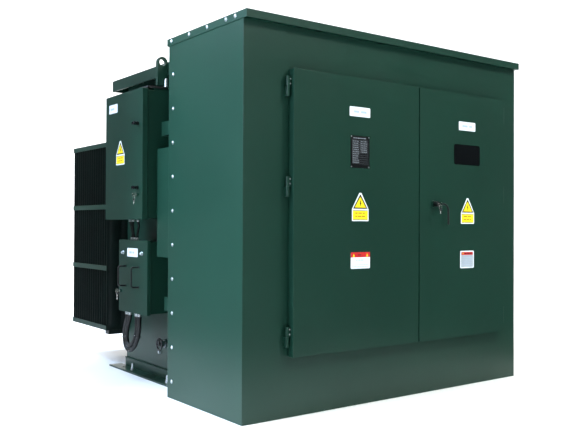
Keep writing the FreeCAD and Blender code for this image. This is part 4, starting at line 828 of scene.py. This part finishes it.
@dataclass
class Plate:
    """One printed plate: a thin sheet on a face, with its print in raised layers."""

    shape: Shape
    face: Face
    thickness: float = 1.0
    layer: float = 0.12

    def sheet(self, outline: Sequence[tuple[float, float]], finish: Finish) -> None:
        """Add the plate itself."""
        self.shape.prism([self.face.at(x, y) for x, y in outline],
                         self.face.out * self.thickness * MM, finish)

    def ink(self, outline: Sequence[tuple[float, float]], finish: Finish, level: int = 1) -> None:
        """Add a print layer: level 1 lies on the sheet, level 2 on level 1, and so on."""
        base = self.thickness + (level - 1) * self.layer
        self.shape.prism([self.face.at(x, y, base - 0.05) for x, y in outline],
                         self.face.out * (self.layer + 0.05) * MM, finish)

    def lines(self, left: float, right: float, top: float, rows: int, pitch: float,
              height: float, finish: Finish, seed: int, level: int = 1) -> None:
        """Add rows of short bars in place of wording.

        Args:
            left: Left end of the rows.
            right: Right end of the rows.
            top: Top of the first row.
            rows: Number of rows.
            pitch: Distance between rows.
            height: Height of each bar.
            finish: Ink.
            seed: Seed of the bars' lengths.
            level: Print layer.
        """
        chance = random.Random(seed)
        for row in range(rows):
            across = left
            y = top - row * pitch
            while across < right - height * 2:
                end = min(across + height * chance.uniform(1.5, 5.0), right)
                self.ink([(across, y - height), (end, y - height), (end, y), (across, y)],
                         finish, level)
                across = end + height * chance.uniform(0.6, 1.2)

    def rivets(self, width: float, height: float, inset: float = 5.0, radius: float = 3.6) -> None:
        """Add a dome rivet at each corner."""
        for x in (-width / 2 + inset, width / 2 - inset):
            for y in (inset, height - inset):
                self.shape.lathe(self.face.at(x, y, self.thickness), self.face.out,
                                 [(radius * MM, 0.0), (radius * 0.9 * MM, 0.5 * MM),
                                  (radius * 0.5 * MM, 1.0 * MM), (0.0, 1.2 * MM)], ZINC, 12)


def white_label(plate: Plate, width: float, height: float, seed: int) -> None:
    """Draw a white equipment label with one pale line."""
    plate.sheet(rectangle(width, height, 4.0), WHITE_PRINT)
    plate.lines(-width * 0.3, width * 0.32, height * 0.62, 1, 10, height * 0.24, PALE_INK, seed)


def warning_sign(plate: Plate, width: float, height: float, seed: int) -> None:
    """Draw the electric hazard sign: a triangle over a yellow panel, on a white sheet."""
    shoulder = height * 0.42
    half = width / 2
    plate.sheet([(-half, 3), (-half + 3, 0), (half - 3, 0), (half, 3), (half, shoulder),
                 (7, height), (-7, height), (-half, shoulder)], WHITE_PRINT)

    def triangle(inset: float) -> list[tuple[float, float]]:
        """Return the sign's triangle, drawn in by that many millimetres."""
        base = shoulder + inset
        top = height - 4 - inset * 2.1
        reach = half - 3 - inset * 1.75
        return [(-reach, base), (reach, base), (2, top), (-2, top)]

    plate.ink(triangle(2.5), BLACK_PRINT)
    plate.ink(triangle(9), YELLOW_PRINT, 2)
    tall = (height - shoulder) * 0.52
    low = shoulder + 10
    bolt = [(-3.5, 0.0), (8.5, 0.50), (2.5, 0.50), (6.5, 1.0), (-7.0, 0.42), (-0.6, 0.42)]
    plate.ink([(x, low + y * tall) for x, y in bolt], BLACK_PRINT, 3)
    plate.ink(rectangle(width - 12, shoulder - 12, 1.5, 6), BLACK_PRINT)
    plate.ink(rectangle(width - 13, shoulder - 17, 1.5, 8.5), YELLOW_PRINT, 2)
    plate.lines(-width * 0.30, width * 0.32, shoulder * 0.72, 2, shoulder * 0.27, shoulder * 0.10,
                OCHRE_INK, seed, 3)


def name_plate(plate: Plate, width: float, height: float) -> None:
    """Draw the black rating plate: a framed table of rows, with a rivet at each corner."""
    plate.sheet(rectangle(width, height, 2.0), BLACK_PANEL)
    plate.lines(-width * 0.36, width * 0.36, height * 0.94, 1, 5, 4.0, SILVER_INK, 3)
    for row in range(12):
        y = height * 0.86 - row * height * 0.066
        plate.ink([(-width * 0.43, y), (width * 0.43, y), (width * 0.43, y + 0.5),
                   (-width * 0.43, y + 0.5)], SILVER_INK)
    plate.lines(-width * 0.40, -width * 0.06, height * 0.84, 11, height * 0.066, 3.0, SILVER_INK, 5)
    plate.lines(width * 0.02, width * 0.38, height * 0.84, 6, height * 0.066, 3.0, SILVER_INK, 9)
    plate.rivets(width, height)


def notice(plate: Plate, width: float, height: float, inset: bool, seed: int) -> None:
    """Draw a notice with a red heading, either full width with two signs or inset with one."""
    ground = GREY_PRINT if inset else WHITE_PRINT
    plate.sheet(rectangle(width, height, 6.0), WHITE_PRINT)
    if inset:
        plate.ink(rectangle(width - 16, height - 14, 2.0, 6), ground)
        plate.ink(rectangle(width - 20, height * 0.17, 1.0, height * 0.76), RED_PRINT, 2)
        plate.ink([(-width * 0.30 + 4 * math.cos(a), height * 0.845 + 4 * math.sin(a))
                   for a in (2 * math.pi * i / 10 for i in range(10))], YELLOW_PRINT, 3)
        plate.lines(-width * 0.18, width * 0.34, height * 0.875, 1, 5, 5.0, BLACK_PRINT, seed, 3)
        plate.lines(-width * 0.36, width * 0.36, height * 0.62, 5, 10.5, 3.0, PALE_INK, seed + 1, 2)
        return
    plate.ink(rectangle(width, height * 0.31, 0.0, height * 0.69), RED_PRINT)
    for x in (-width * 0.35, width * 0.35):
        plate.ink([(x - 8, height * 0.73), (x + 8, height * 0.73), (x, height * 0.92)],
                  YELLOW_PRINT, 2)
    plate.lines(-width * 0.14, width * 0.18, height * 0.88, 1, 5, 7.0, DARK_RED_INK, seed, 2)
    plate.lines(-width * 0.24, width * 0.26, height * 0.55, 1, 5, 5.5, PALE_INK, seed + 1)
    plate.lines(-width * 0.42, width * 0.42, height * 0.25, 2, 9.0, 3.2, PALE_INK, seed + 2)


class Signs:
    """All plates on the doors and the boxes."""

    @staticmethod
    def front_face(door: str) -> Face:
        """Return the front face of a door, with its origin at the door's middle and the pad."""
        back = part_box(door + "_plates")[1].y
        door_low, door_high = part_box(door)
        middle = (door_low.x + door_high.x) / 2
        return Face(Vector((middle, back, 0.0)), Vector(Axis.RIGHT.value), Vector(Axis.FRONT.value))

    def build(self) -> None:
        """Build the plates of each door and box as one piece per body."""
        face = self.front_face("left_door")
        shape = Shape("left_door_plates_printed")
        white_label(Plate(shape, face.moved(-4, 1539)), 145, 51, 11)
        name_plate(Plate(shape, face.moved(-2, 1267)), 134, 170)
        warning_sign(Plate(shape, face.moved(0, 985)), 118, 150, 13)
        notice(Plate(shape, face.moved(2, 733)), 136, 87, False, 17)
        shape.finish_piece("left_door", ("left_door_plates",))

        face = self.front_face("right_door")
        shape = Shape("right_door_plates_printed")
        white_label(Plate(shape, face.moved(28, 1529)), 147, 52, 19)
        Plate(shape, face.moved(28, 1324)).sheet(rectangle(232, 120, 14), SMOKED)
        warning_sign(Plate(shape, face.moved(33, 973)), 118, 153, 23)
        notice(Plate(shape, face.moved(29, 709)), 122, 103, True, 29)
        shape.finish_piece("right_door", ("right_door_plates",))

        low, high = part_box("control_door_plates")
        origin = Vector((high.x, low.y, low.z))
        face = Face(origin, Vector(Axis.FRONT.value), Vector(Axis.LEFT.value))
        shape = Shape("control_door_plates_printed")
        warning_sign(Plate(shape, face.moved(-60, 0)), 120, 146, 31)
        top = (high.z - low.z) / MM
        along = (high.y - low.y) / MM
        white_label(Plate(shape, face.moved(-(along - 61), top - 54)), 122, 54, 37)
        shape.finish_piece("control_door", ("control_door_plates",))

        nut_low, nut_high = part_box("junction_cover_nuts")
        middle = (nut_low.y + nut_high.y) / 2
        level = (nut_low.z + nut_high.z) / 2
        face = Face(Vector((nut_high.x, middle, level - 0.022)), Vector(Axis.FRONT.value),
                    Vector(Axis.LEFT.value))
        shape = Shape("junction_cover_label")
        white_label(Plate(shape, face), 144, 52, 41)
        shape.finish_piece("junction_cover")


# ---- Fasteners, gaskets and other small things ---------------------------------------------
def dome_screw(shape: Shape, radius: float, height: float, finish: Finish) -> None:
    """Draw a button-head screw with its washer and hexagon socket, pointing up +Z."""
    washer = radius * 1.25
    shape.lathe((0, 0, 0), (0, 0, 1), [(radius * 0.4, -8 * MM), (radius * 0.4, 0.0), (washer, 0.0),
                                       (washer, 1.0 * MM), (radius, 1.0 * MM),
                                       (radius * 0.94, height * 0.45), (radius * 0.75, height * 0.78),
                                       (radius * 0.45, height * 0.97), (radius * 0.36, height),
                                       (radius * 0.34, height * 0.55), (0.0, height * 0.55)],
                finish, 20)


@dataclass
class Fasteners:
    """Screws and weld beads, each kind repeated over its places; metres unless named in mm."""

    hinge_levels_mm: tuple[float, ...] = (355, 1105, 1605)
    screw_rises_mm: tuple[float, ...] = (64, 88)        # above each hinge's lower end
    tank_side: float = 0.833
    tank_rear: float = 0.4915
    lug_root: tuple[float, float] = (1.784, 1.852)      # foot and top of a lug's weld
    side_lug_faces: tuple[float, float] = (-0.2445, -0.2205)
    rear_lug_across: float = 0.539
    lug_half: float = 0.012
    skid_top: float = 0.068
    skid_stretch: tuple[float, float] = (-0.475, 0.49)
    header_columns: tuple[float, ...] = (-0.646, 0.0, 0.646)
    header_levels: tuple[float, ...] = (0.308, 1.450)
    header_flange: float = 0.070
    ring_beads: int = 120
    bead_pitch: float = 0.0032

    def build(self) -> None:
        """Build the dome screws, the hinge screws and the weld beads."""
        self.cabinet_screws()
        self.hinge_screws()
        self.weld_beads()

    def cabinet_screws(self) -> None:
        """Repeat the dome screws at the centres of the CAD screws."""
        spots = []
        source = frame["nodes"]["cabinet_screws"]
        mesh = bmesh.new()
        mesh.from_mesh(source.data)
        bmesh.ops.remove_doubles(mesh, verts=mesh.verts, dist=1e-6)
        left = set(mesh.verts)
        while left:
            stack = [left.pop()]
            part = []
            while stack:
                vert = stack.pop()
                part.append(vert.co.copy())
                for edge in vert.link_edges:
                    other = edge.other_vert(vert)
                    if other in left:
                        left.remove(other)
                        stack.append(other)
            side = -1.0 if part[0].x < 0 else 1.0
            ys = [c.y for c in part]
            zs = [c.z for c in part]
            wide = max(ys) - min(ys)
            rim = [c.x * side for c in part
                   if abs(math.hypot(c.y - sum((min(ys), max(ys))) / 2,
                                     c.z - sum((min(zs), max(zs))) / 2) - wide / 2) < 0.4 * MM]
            spots.append(((side * min(rim), (min(ys) + max(ys)) / 2, (min(zs) + max(zs)) / 2),
                          (side, 0.0, 0.0)))
        mesh.free()
        repeated("cabinet_dome_screws", lambda s: dome_screw(s, 9 * MM, 5.5 * MM, ZINC), spots,
                 ZINC, "transformer", ("cabinet_screws",), turn=1.0)

    def hinge_screws(self) -> None:
        """Put two small screws on each leaf of the cabinet's hinges."""
        for door, side in (("left_door", -1), ("right_door", 1)):
            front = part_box(door + "_hinge_leaves")[0].y
            door_low, door_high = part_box(door)
            edge = door_low.x if side < 0 else door_high.x
            middle = edge + side * 6 * MM
            spots = []
            for level in self.hinge_levels_mm:
                for rise in self.screw_rises_mm:
                    spots.append(((middle, front + 5 * MM, (level + rise) * MM),
                                  Axis.FRONT.value))
            repeated(door + "_hinge_screws", lambda s: dome_screw(s, 3.4 * MM, 2.6 * MM, ZINC),
                     spots, ZINC, door)

    def weld_beads(self) -> None:
        """Lay beads where lugs, skids and header flanges meet the tank."""
        lines: list[tuple[Point, Point, Point]] = []
        foot, top = self.lug_root
        for side in (-1, 1):
            wall = side * self.tank_side
            for y, lean in zip(self.side_lug_faces, (-0.7, 0.7)):
                lines.append(((wall, y, foot), (wall, y, top), (side * 0.7, lean, 0.0)))
            seam = side * (self.tank_side + 0.010)
            lines.append(((seam, self.skid_stretch[0], self.skid_top),
                          (seam, self.skid_stretch[1], self.skid_top), (side * 0.3, 0.0, 0.9)))
            for lean in (-1, 1):
                x = side * self.rear_lug_across + lean * self.lug_half
                lines.append(((x, self.tank_rear, foot), (x, self.tank_rear, top),
                              (lean * 0.7, 0.7, 0.0)))
        spots = []
        for start, end, facing in lines:
            gap = Vector(end) - Vector(start)
            count = max(2, int(gap.length / self.bead_pitch))
            for i in range(count + 1):
                spots.append((tuple(Vector(start) + gap * i / count), facing))
        for x in self.header_columns:
            for z in self.header_levels:
                for i in range(self.ring_beads):
                    angle = 2 * math.pi * i / self.ring_beads
                    spots.append(((x + self.header_flange * math.cos(angle),
                                   self.tank_rear + 1 * MM,
                                   z + self.header_flange * math.sin(angle)),
                                  (math.cos(angle), 0.7, math.sin(angle))))
        repeated("tank_weld_beads", self.bead, spots, GREEN, "transformer",
                 turn=6.28, size=0.12, seed=11)

    @staticmethod
    def bead(shape: Shape) -> None:
        """Draw one scale of a weld bead."""
        shape.lathe((0, 0, 0), (0, 0, 1), [(3.0 * MM, -1.2 * MM), (3.2 * MM, 0.0),
                                           (2.4 * MM, 1.3 * MM), (0.9 * MM, 1.9 * MM)], GREEN, 8)


@dataclass
class Gaskets:
    """Rubber seals, door stiffeners and a black trim on the control box's hood that is painted shade
    along the hood's edge, in metres.
    """

    control_mouth: float = -0.833 - 0.220
    control_rear: float = 0.2655
    junction_mouth: float = -0.833 - 0.181
    lip_inset: float = 9.5 * MM
    hood_stretch: tuple[float, float] = (-0.2545, 0.2615)
    hood_root: float = -0.90

    def build(self) -> None:
        """Build every seal and stiffener, and the hood's black trim of painted shade."""
        for door in ("left_door", "right_door"):
            self.door_back(door)
        self.box_seal("control_box_door", "control_box_gasket", 1.7, self.control_mouth,
                      self.control_rear)
        self.box_seal("junction_box_cover", "junction_box_gasket", 1.2, self.junction_mouth)
        # The hood's black trim is painted shade along the hood's edge.
        self.hood_shade_trim()

    def door_back(self, door: str) -> None:
        """Put a round seal inside the pan's rim and two stiffeners behind the sheet."""
        low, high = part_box(door)
        rim = 9 * MM
        seal = Shape(door + "_seal")
        y = high.y - 2.6 * MM
        corners = ((low.x + rim, y, low.z + rim), (high.x - rim, y, low.z + rim),
                   (high.x - rim, y, high.z - rim), (low.x + rim, y, high.z - rim))
        seal.tube(self.rounded_loop(corners, 0.012), 4.6 * MM, BLACK_RUBBER, 12, True)
        seal.finish_piece(door)
        stiff = Shape(door + "_stiffeners")
        front = high.y - 0.042 + 3.2 * MM
        for share in (0.27, 0.73):
            x = low.x + (high.x - low.x) * share
            stiff.box((x - 0.030, front, low.z + 0.06), (x + 0.030, front + 1.5 * MM, high.z - 0.06),
                      GREEN, 0.5 * MM)
            stiff.box((x - 0.018, front + 1.5 * MM, low.z + 0.06),
                      (x + 0.018, front + 22 * MM, high.z - 0.06), GREEN, 3 * MM)
        stiff.finish_piece(door)

    @staticmethod
    def rounded_loop(corners: Sequence[Point], radius: float) -> list[Vector]:
        """Return a closed path through four corners, each rounded by a radius."""
        path = []
        places = [Vector(c) for c in corners]
        for i, corner in enumerate(places):
            back = (places[i - 1] - corner).normalized()
            ahead = (places[(i + 1) % len(places)] - corner).normalized()
            centre = corner + (back + ahead) * radius
            for step in range(6):
                angle = math.pi / 2 * step / 5
                path.append(centre - ahead * radius * math.cos(angle) - back * radius * math.sin(angle))
        return path

    def box_seal(self, lid: str, name: str, radius: float, mouth: float,
                 rear: float | None = None) -> None:
        """Put a thin seal on the lip around a box's mouth.

        Args:
            lid: Node that closes the box.
            name: The seal's name.
            radius: The seal's radius in millimetres.
            mouth: X of the box's mouth.
            rear: Y of the lid's rear edge, where the lid's node reaches past it.
        """
        low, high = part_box(lid)
        front, back = low.y + self.lip_inset, (rear or high.y) - self.lip_inset
        bottom, top = low.z + self.lip_inset, high.z - self.lip_inset
        x = mouth - radius * MM
        corners = ((x, front, bottom), (x, back, bottom), (x, back, top), (x, front, top))
        seal = Shape(name)
        seal.tube(self.rounded_loop(corners, 0.006), radius * MM, BLACK_RUBBER, 10, True)
        seal.finish_piece("transformer")

    def hood_shade_trim(self) -> None:
        """Wrap a black rubber trim around the hood over the control box's door: painted shade along the
        hood's front edge.
        """
        low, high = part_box("control_box_body")
        # Black trim on the hood: painted shade along its front edge.
        trim = Shape("control_box_rain_trim")
        front, rear = self.hood_stretch
        trim.box((low.x - 1.5 * MM, front - 1.5 * MM, high.z - 10.5 * MM),
                 (low.x + 10 * MM, rear + 1.5 * MM, high.z + 1.2 * MM), BLACK_RUBBER, 0.8 * MM)
        for y0, y1 in ((front - 1.5 * MM, front + 3 * MM), (rear - 3 * MM, rear + 1.5 * MM)):
            trim.box((low.x + 9 * MM, y0, high.z - 10.5 * MM),
                     (self.hood_root, y1, high.z + 1.2 * MM), BLACK_RUBBER, 0.8 * MM)
        trim.finish_piece("transformer")


@dataclass
class Dials:
    """Faces, ticks and glasses of the two gauges on the bulkhead, in metres."""

    centres: tuple[tuple[float, float], ...] = ((-0.749, 1.500), (0.639, 1.500))
    front: float = -0.4915
    ticks: int = 25
    sweep: float = 270.0

    def build(self) -> None:
        """Build the dial faces, then repeat their ticks."""
        faces = Shape("gauge_dials")
        spots = []
        for x, z in self.centres:
            faces.rod((x, self.front - 24.05 * MM, z), Axis.FRONT.value, 49.5 * MM, 0.7 * MM,
                      DIAL_WHITE, 0.0, 48)
            for i in range(self.ticks):
                angle = math.radians((i / (self.ticks - 1) - 0.5) * self.sweep)
                reach = (42 if i % 4 else 40) * MM
                spots.append(((x + reach * math.sin(angle), self.front - 25.0 * MM,
                               z + reach * math.cos(angle)), Axis.FRONT.value))
        faces.finish_piece("transformer")
        repeated("gauge_ticks", lambda s: s.rod((0, 0, -0.3 * MM), (0, 0, 1), 1.3 * MM, 0.5 * MM,
                                                BLACK_PRINT, 0.0, 8),
                 spots, BLACK_PRINT, "transformer")
        glass = Shape("gauge_glasses")
        for x, z in self.centres:
            glass.rod((x, self.front - 34.2 * MM, z), Axis.FRONT.value, 49.6 * MM, 1.2 * MM,
                      DIAL_GLASS, 0.0, 48)
        glass.finish_piece("transformer")


@dataclass
class Terminals:
    """The back plate, rails and terminal blocks inside the control box, in metres."""

    rows: tuple[float, ...] = (0.150, 0.360, 0.570)
    row_origin: float = 0.040
    count: int = 9
    first: float = 0.045
    pitch: float = 0.043

    def build(self) -> None:
        """Build the plate and rails, then repeat the blocks and their screws."""
        low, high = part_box("control_terminals")
        base = low.z - self.row_origin
        plate = Shape("control_back_plate")
        plate.box((high.x - 8 * MM, low.y, low.z), (high.x - 4 * MM, high.y, high.z), ZINC, 0.8 * MM)
        for y in (low.y + 0.016, high.y - 0.016):
            for z in (low.z + 0.020, high.z - 0.020):
                plate.rod((high.x - 4 * MM, y, z), Axis.RIGHT.value, 5 * MM, 4 * MM, ZINC)
                plate.rod((high.x - 8 * MM, y, z), Axis.LEFT.value, 5 * MM, 3 * MM, ZINC, 0.5 * MM)
        blocks, screws = [], []
        for row in self.rows:
            z = base + row
            plate.box((high.x - 16 * MM, low.y + 0.016, z - 17 * MM),
                      (high.x - 8 * MM, high.y - 0.016, z + 17 * MM), ZINC, 0.8 * MM)
            for i in range(self.count):
                y = low.y + self.first + i * self.pitch
                blocks.append(((high.x - 16 * MM, y, z), Axis.LEFT.value))
                screws += [((high.x - 70 * MM, y, z + up * MM), Axis.LEFT.value) for up in (-27, 27)]
        plate.finish_piece("transformer", ("control_terminals",))
        repeated("terminal_blocks", self.block, blocks, GREY_PLASTIC, "transformer")
        repeated("terminal_screws", lambda s: dome_screw(s, 5 * MM, 3.6 * MM, ZINC), screws, ZINC,
                 "transformer")

    @staticmethod
    def block(shape: Shape) -> None:
        """Draw one block: a stepped body with a raised middle."""
        shape.box((-39.5 * MM, -18.5 * MM, 0), (39.5 * MM, 18.5 * MM, 38 * MM), GREY_PLASTIC, 1.5 * MM)
        shape.box((-39 * MM, -18 * MM, 37 * MM), (-15 * MM, 18 * MM, 54 * MM), GREY_PLASTIC, 2 * MM)
        shape.box((15 * MM, -18 * MM, 37 * MM), (39 * MM, 18 * MM, 54 * MM), GREY_PLASTIC, 2 * MM)
        shape.box((-13 * MM, -17 * MM, 37 * MM), (13 * MM, 17 * MM, 59 * MM), GREY_PLASTIC, 3 * MM)


# ---- Cables -------------------------------------------------------------------------------
@dataclass(frozen=True)
class Conduit:
    """One flexible conduit: its CAD node, the points of its line in mm, and its length."""

    node: str
    route: tuple[Point, ...]
    length: float
    diameter: float = 0.026

    def build(self) -> None:
        data = bpy.data.curves.new(self.node + "_jacket", "CURVE")
        data.dimensions = "3D"
        data.bevel_depth = self.diameter / 2
        data.bevel_resolution = 6
        data.use_fill_caps = True
        spline = data.splines.new("NURBS")
        spline.points.add(len(self.route) - 1)
        for point, place in zip(spline.points, self.route):
            point.co = (place[0] * MM, place[1] * MM, place[2] * MM, 1.0)
        spline.order_u = 3
        spline.use_endpoint_u = True
        spline.resolution_u = 10
        data.materials.append(CABLE_JACKET.material())
        made = bpy.data.objects.new(self.node + "_jacket", data)
        bpy.context.scene.collection.objects.link(made)
        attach(made, "transformer")
        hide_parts(self.node)
        LOG.info("%s: %.3f m", made.name, self.length)


CONDUITS = (
    Conduit("conduit_outer", ((-992, 141, 399), (-992, 143, 376), (-993, 172, 320),
                              (-991, 188, 255), (-992, 168, 196), (-994, 108, 170),
                              (-992, 38, 203), (-991, -11, 272), (-992, -27, 345),
                              (-992, -28, 399)), 0.560),
    Conduit("conduit_inner", ((-992, 105, 399), (-992, 106, 376), (-993, 139, 318),
                              (-991, 156, 255), (-992, 142, 217), (-994, 108, 201),
                              (-992, 62, 224), (-991, 18, 283), (-992, 7, 345),
                              (-992, 8, 399)), 0.467),
)


class CableTies:
    """Two nylon ties that hold the conduits together."""

    places = (((-992, 171, 256), (0.0, 0.97, -0.12)), ((-992, -4, 280), (0.0, 0.93, 0.36)))

    def build(self) -> None:
        """Build each tie as an oval band with its lock."""
        ties = Shape("conduit_ties")
        for (x, y, z), across in self.places:
            centre = Vector((x, y, z)) * MM
            wide = Vector(across).normalized()
            thick = Vector((1.0, 0.0, 0.0))
            path = []
            for i in range(28):
                angle = 2 * math.pi * i / 28
                push = 16 * MM * (1 if math.cos(angle) > 0 else -1)
                path.append(centre + wide * (push + 14.6 * MM * math.cos(angle))
                            + thick * 14.6 * MM * math.sin(angle))
            ties.tube(path, 1.4 * MM, BLACK_PLASTIC, 8, True)
            lock = centre + wide * 6 * MM - thick * 15.4 * MM
            ties.box(lock - Vector((2.5, 3.5, 3.0)) * MM, lock + Vector((2.5, 3.5, 3.0)) * MM,
                     ZINC, 0.8 * MM)
        ties.finish_piece("transformer")


# ---- Studio -------------------------------------------------------------------------------
@dataclass(frozen=True)
class SoftLight:
    """A rectangular soft light: where it stands, what it points at, its size and power."""

    name: str
    place: Point
    target: Point
    size: tuple[float, float]
    power: float
    colour: str = "#FFFFFF"

    def build(self) -> None:
        """Add the light to the scene."""
        data = bpy.data.lights.new(self.name, "AREA")
        data.shape = "RECTANGLE"
        data.size, data.size_y = self.size
        data.energy = self.power
        data.color = linear(self.colour)[:3]
        made = bpy.data.objects.new(self.name, data)
        made.location = self.place
        direction = Vector(self.target) - Vector(self.place)
        made.rotation_euler = direction.to_track_quat("-Z", "Y").to_euler()
        made.visible_camera = False
        bpy.context.scene.collection.objects.link(made)


LIGHTS = (
    SoftLight("key_left", (-6.5, -0.35, 2.6), (-1.0, -0.8, 1.0), (1.6, 1.6), 790.0, "#D4E9FF"),
    SoftLight("sheen_back_left", (-3.4, 2.0, 4.8), (-1.0, 0.1, 1.0), (1.2, 1.2), 280.0, "#BFDDFF"),
    SoftLight("front_top", (2.3, -4.6, 5.4), (0.1, -1.25, 0.9), (0.9, 0.9), 265.0, "#F4FFF8"),
    SoftLight("top_soft", (-0.8, -1.0, 7.5), (-0.2, 0.6, 0.0), (8.0, 8.0), 540.0, "#FFFFFF"),
    SoftLight("rear_fill", (3.2, 7.0, 4.0), (0.0, 0.9, 1.0), (3.0, 3.0), 420.0, "#FFFFFF"),
    SoftLight("backdrop_wash", (1.5, 5.6, 6.6), (6.0, 10.0, 2.0), (8.0, 3.0), 720.0, "#FFFFFF"),
)


@dataclass
class Studio:
    """Pale floor, soft light, hidden dark cards and the camera."""

    camera_place: Point = (-3.0507, -4.3239, 0.9725)
    yaw: float = 36.842
    pitch: float = 0.539
    roll: float = 0.223
    lens: float = 47.16

    def build(self) -> None:
        """Make the camera, the floor, the cards, the surround and the lights."""
        bpy.context.scene.view_settings.view_transform = "Standard"
        self.camera()
        self.floor()
        self.card()
        self.world()
        for light in LIGHTS:
            light.build()

    def camera(self) -> None:
        """Place the camera so that the cabinet's left front corner faces it."""
        data = bpy.data.cameras.new("camera")
        data.lens = self.lens
        data.sensor_width = 36.0
        data.clip_end = 200.0
        made = bpy.data.objects.new("camera", data)
        yaw, pitch, roll = (math.radians(a) for a in (self.yaw, self.pitch, self.roll))
        ahead = Vector((math.sin(yaw) * math.cos(pitch), math.cos(yaw) * math.cos(pitch),
                        math.sin(pitch)))
        right = Vector((math.cos(yaw), -math.sin(yaw), 0.0))
        up = right.cross(ahead)
        tilted_right = right * math.cos(roll) + up * math.sin(roll)
        tilted_up = up * math.cos(roll) - right * math.sin(roll)
        turn = Matrix((tilted_right, tilted_up, -ahead)).transposed()
        made.matrix_world = Matrix.Translation(self.camera_place) @ turn.to_4x4()
        bpy.context.scene.collection.objects.link(made)
        bpy.context.scene.camera = made

    def staged(self, name: str, corners: Sequence[Point], faces: Sequence[Sequence[int]],
               colour: str, roughness: float) -> bpy.types.Object:
        """Add a stage mesh with a plain paper material and return it."""
        data = bpy.data.meshes.new(name)
        data.from_pydata([tuple(c) for c in corners], [], faces)
        data.shade_smooth()
        made = bpy.data.objects.new(name, data)
        bpy.context.scene.collection.objects.link(made)
        paper = bpy.data.materials.new(name + "_paper")
        paper.use_nodes = True
        shader = paper.node_tree.nodes["Principled BSDF"]
        shader.inputs["Base Color"].default_value = linear(colour)
        shader.inputs["Roughness"].default_value = roughness
        data.materials.append(paper)
        return made

    def floor(self) -> None:
        """Lay a round pale floor that curves up into a wall on every side."""
        around = 72
        profile = [(0.01, 0.0), (4.0, 0.0), (8.0, 0.0)]
        profile += [(8.0 + 5.0 * math.sin(a), 5.0 - 5.0 * math.cos(a))
                    for a in (math.radians(9 * i) for i in range(1, 11))]
        profile.append((13.0, 13.0))
        corners = [(reach * math.cos(2 * math.pi * i / around),
                    reach * math.sin(2 * math.pi * i / around), height - 0.0008)
                   for reach, height in profile for i in range(around)]
        faces = [(ring * around + i, ring * around + (i + 1) % around,
                  (ring + 1) * around + (i + 1) % around, (ring + 1) * around + i)
                 for ring in range(len(profile) - 1) for i in range(around)]
        faces.append(tuple(range(around)))
        self.staged("floor", corners, faces, "#F6F5F4", 0.9)

    def card(self) -> None:
        """Stand cards, hidden from the camera, that darken the paint's reflections.

        The dark cards act on gloss alone, and the shade card keeps the left light off the boxes.
        """
        walls = (((0.15, -3.4), (4.4, -2.6), 3.0), ((-5.6, 1.2), (-2.4, 7.6), 3.6))
        corners: list[Point] = []
        faces: list[tuple[int, ...]] = []
        for (x0, y0), (x1, y1), top in walls:
            first = len(corners)
            corners += [(x0, y0, 0.0), (x1, y1, 0.0), (x1, y1, top), (x0, y0, top)]
            faces.append((first, first + 1, first + 2, first + 3))
        for outline in (((-1.7, -1.2), (-1.0, -1.75), (0.0, -2.45), (0.85, -2.0), (2.1, -1.24),
                         (4.5, 0.2), (5.5, -4.5), (-2.9, -4.5), (-2.9, -2.6)),
                        ((-2.0, -0.2), (-1.45, 2.0), (-0.85, 4.2), (-5.0, 5.0), (-5.5, -3.5),
                         (-3.0, -3.5), (-2.4, -1.4))):
            first = len(corners)
            corners += [(x, y, 0.001) for x, y in outline]
            faces.append(tuple(range(first, len(corners))))
        dark = self.staged("dark_cards", corners, faces, "#101A1C", 0.9)
        dark.visible_camera = False
        dark.visible_diffuse = False
        dark.visible_shadow = False
        shade = self.staged("shade_card", ((-2.6, -0.3, 0.5), (-2.6, 0.9, 0.5), (-2.6, 0.9, 2.9),
                                           (-2.6, -0.3, 2.9)), ((0, 1, 2, 3),), "#101A1C", 0.9)
        shade.visible_camera = False

    def world(self) -> None:
        """Set an even pale surround."""
        world = bpy.data.worlds.new("studio")
        bpy.context.scene.world = world
        world.use_nodes = True
        back = world.node_tree.nodes["Background"]
        back.inputs["Color"].default_value = linear("#E8F1F6")
        back.inputs["Strength"].default_value = 0.19


def dress_cad_nodes() -> None:
    """Give every CAD node that is still shown the finish of its material slot."""
    for node, thing in frame["nodes"].items():
        finish = CAD_FINISH[slot_of_node(node)]
        thing.data.materials.clear()
        thing.data.materials.append(finish.material())


def main() -> None:
    """Build the studio and every piece in order."""
    logging.basicConfig(level=logging.INFO, format="%(name)s %(message)s")
    Studio().build()
    for conduit in CONDUITS:
        conduit.build()
    dress_cad_nodes()
    for piece in SHEET_METAL:
        piece.build()
    for part in (CableTies(), Radiators(), Signs(), Fasteners(), Gaskets(), Dials(), Terminals()):
        part.build()


if __name__ == "__main__":
    main()
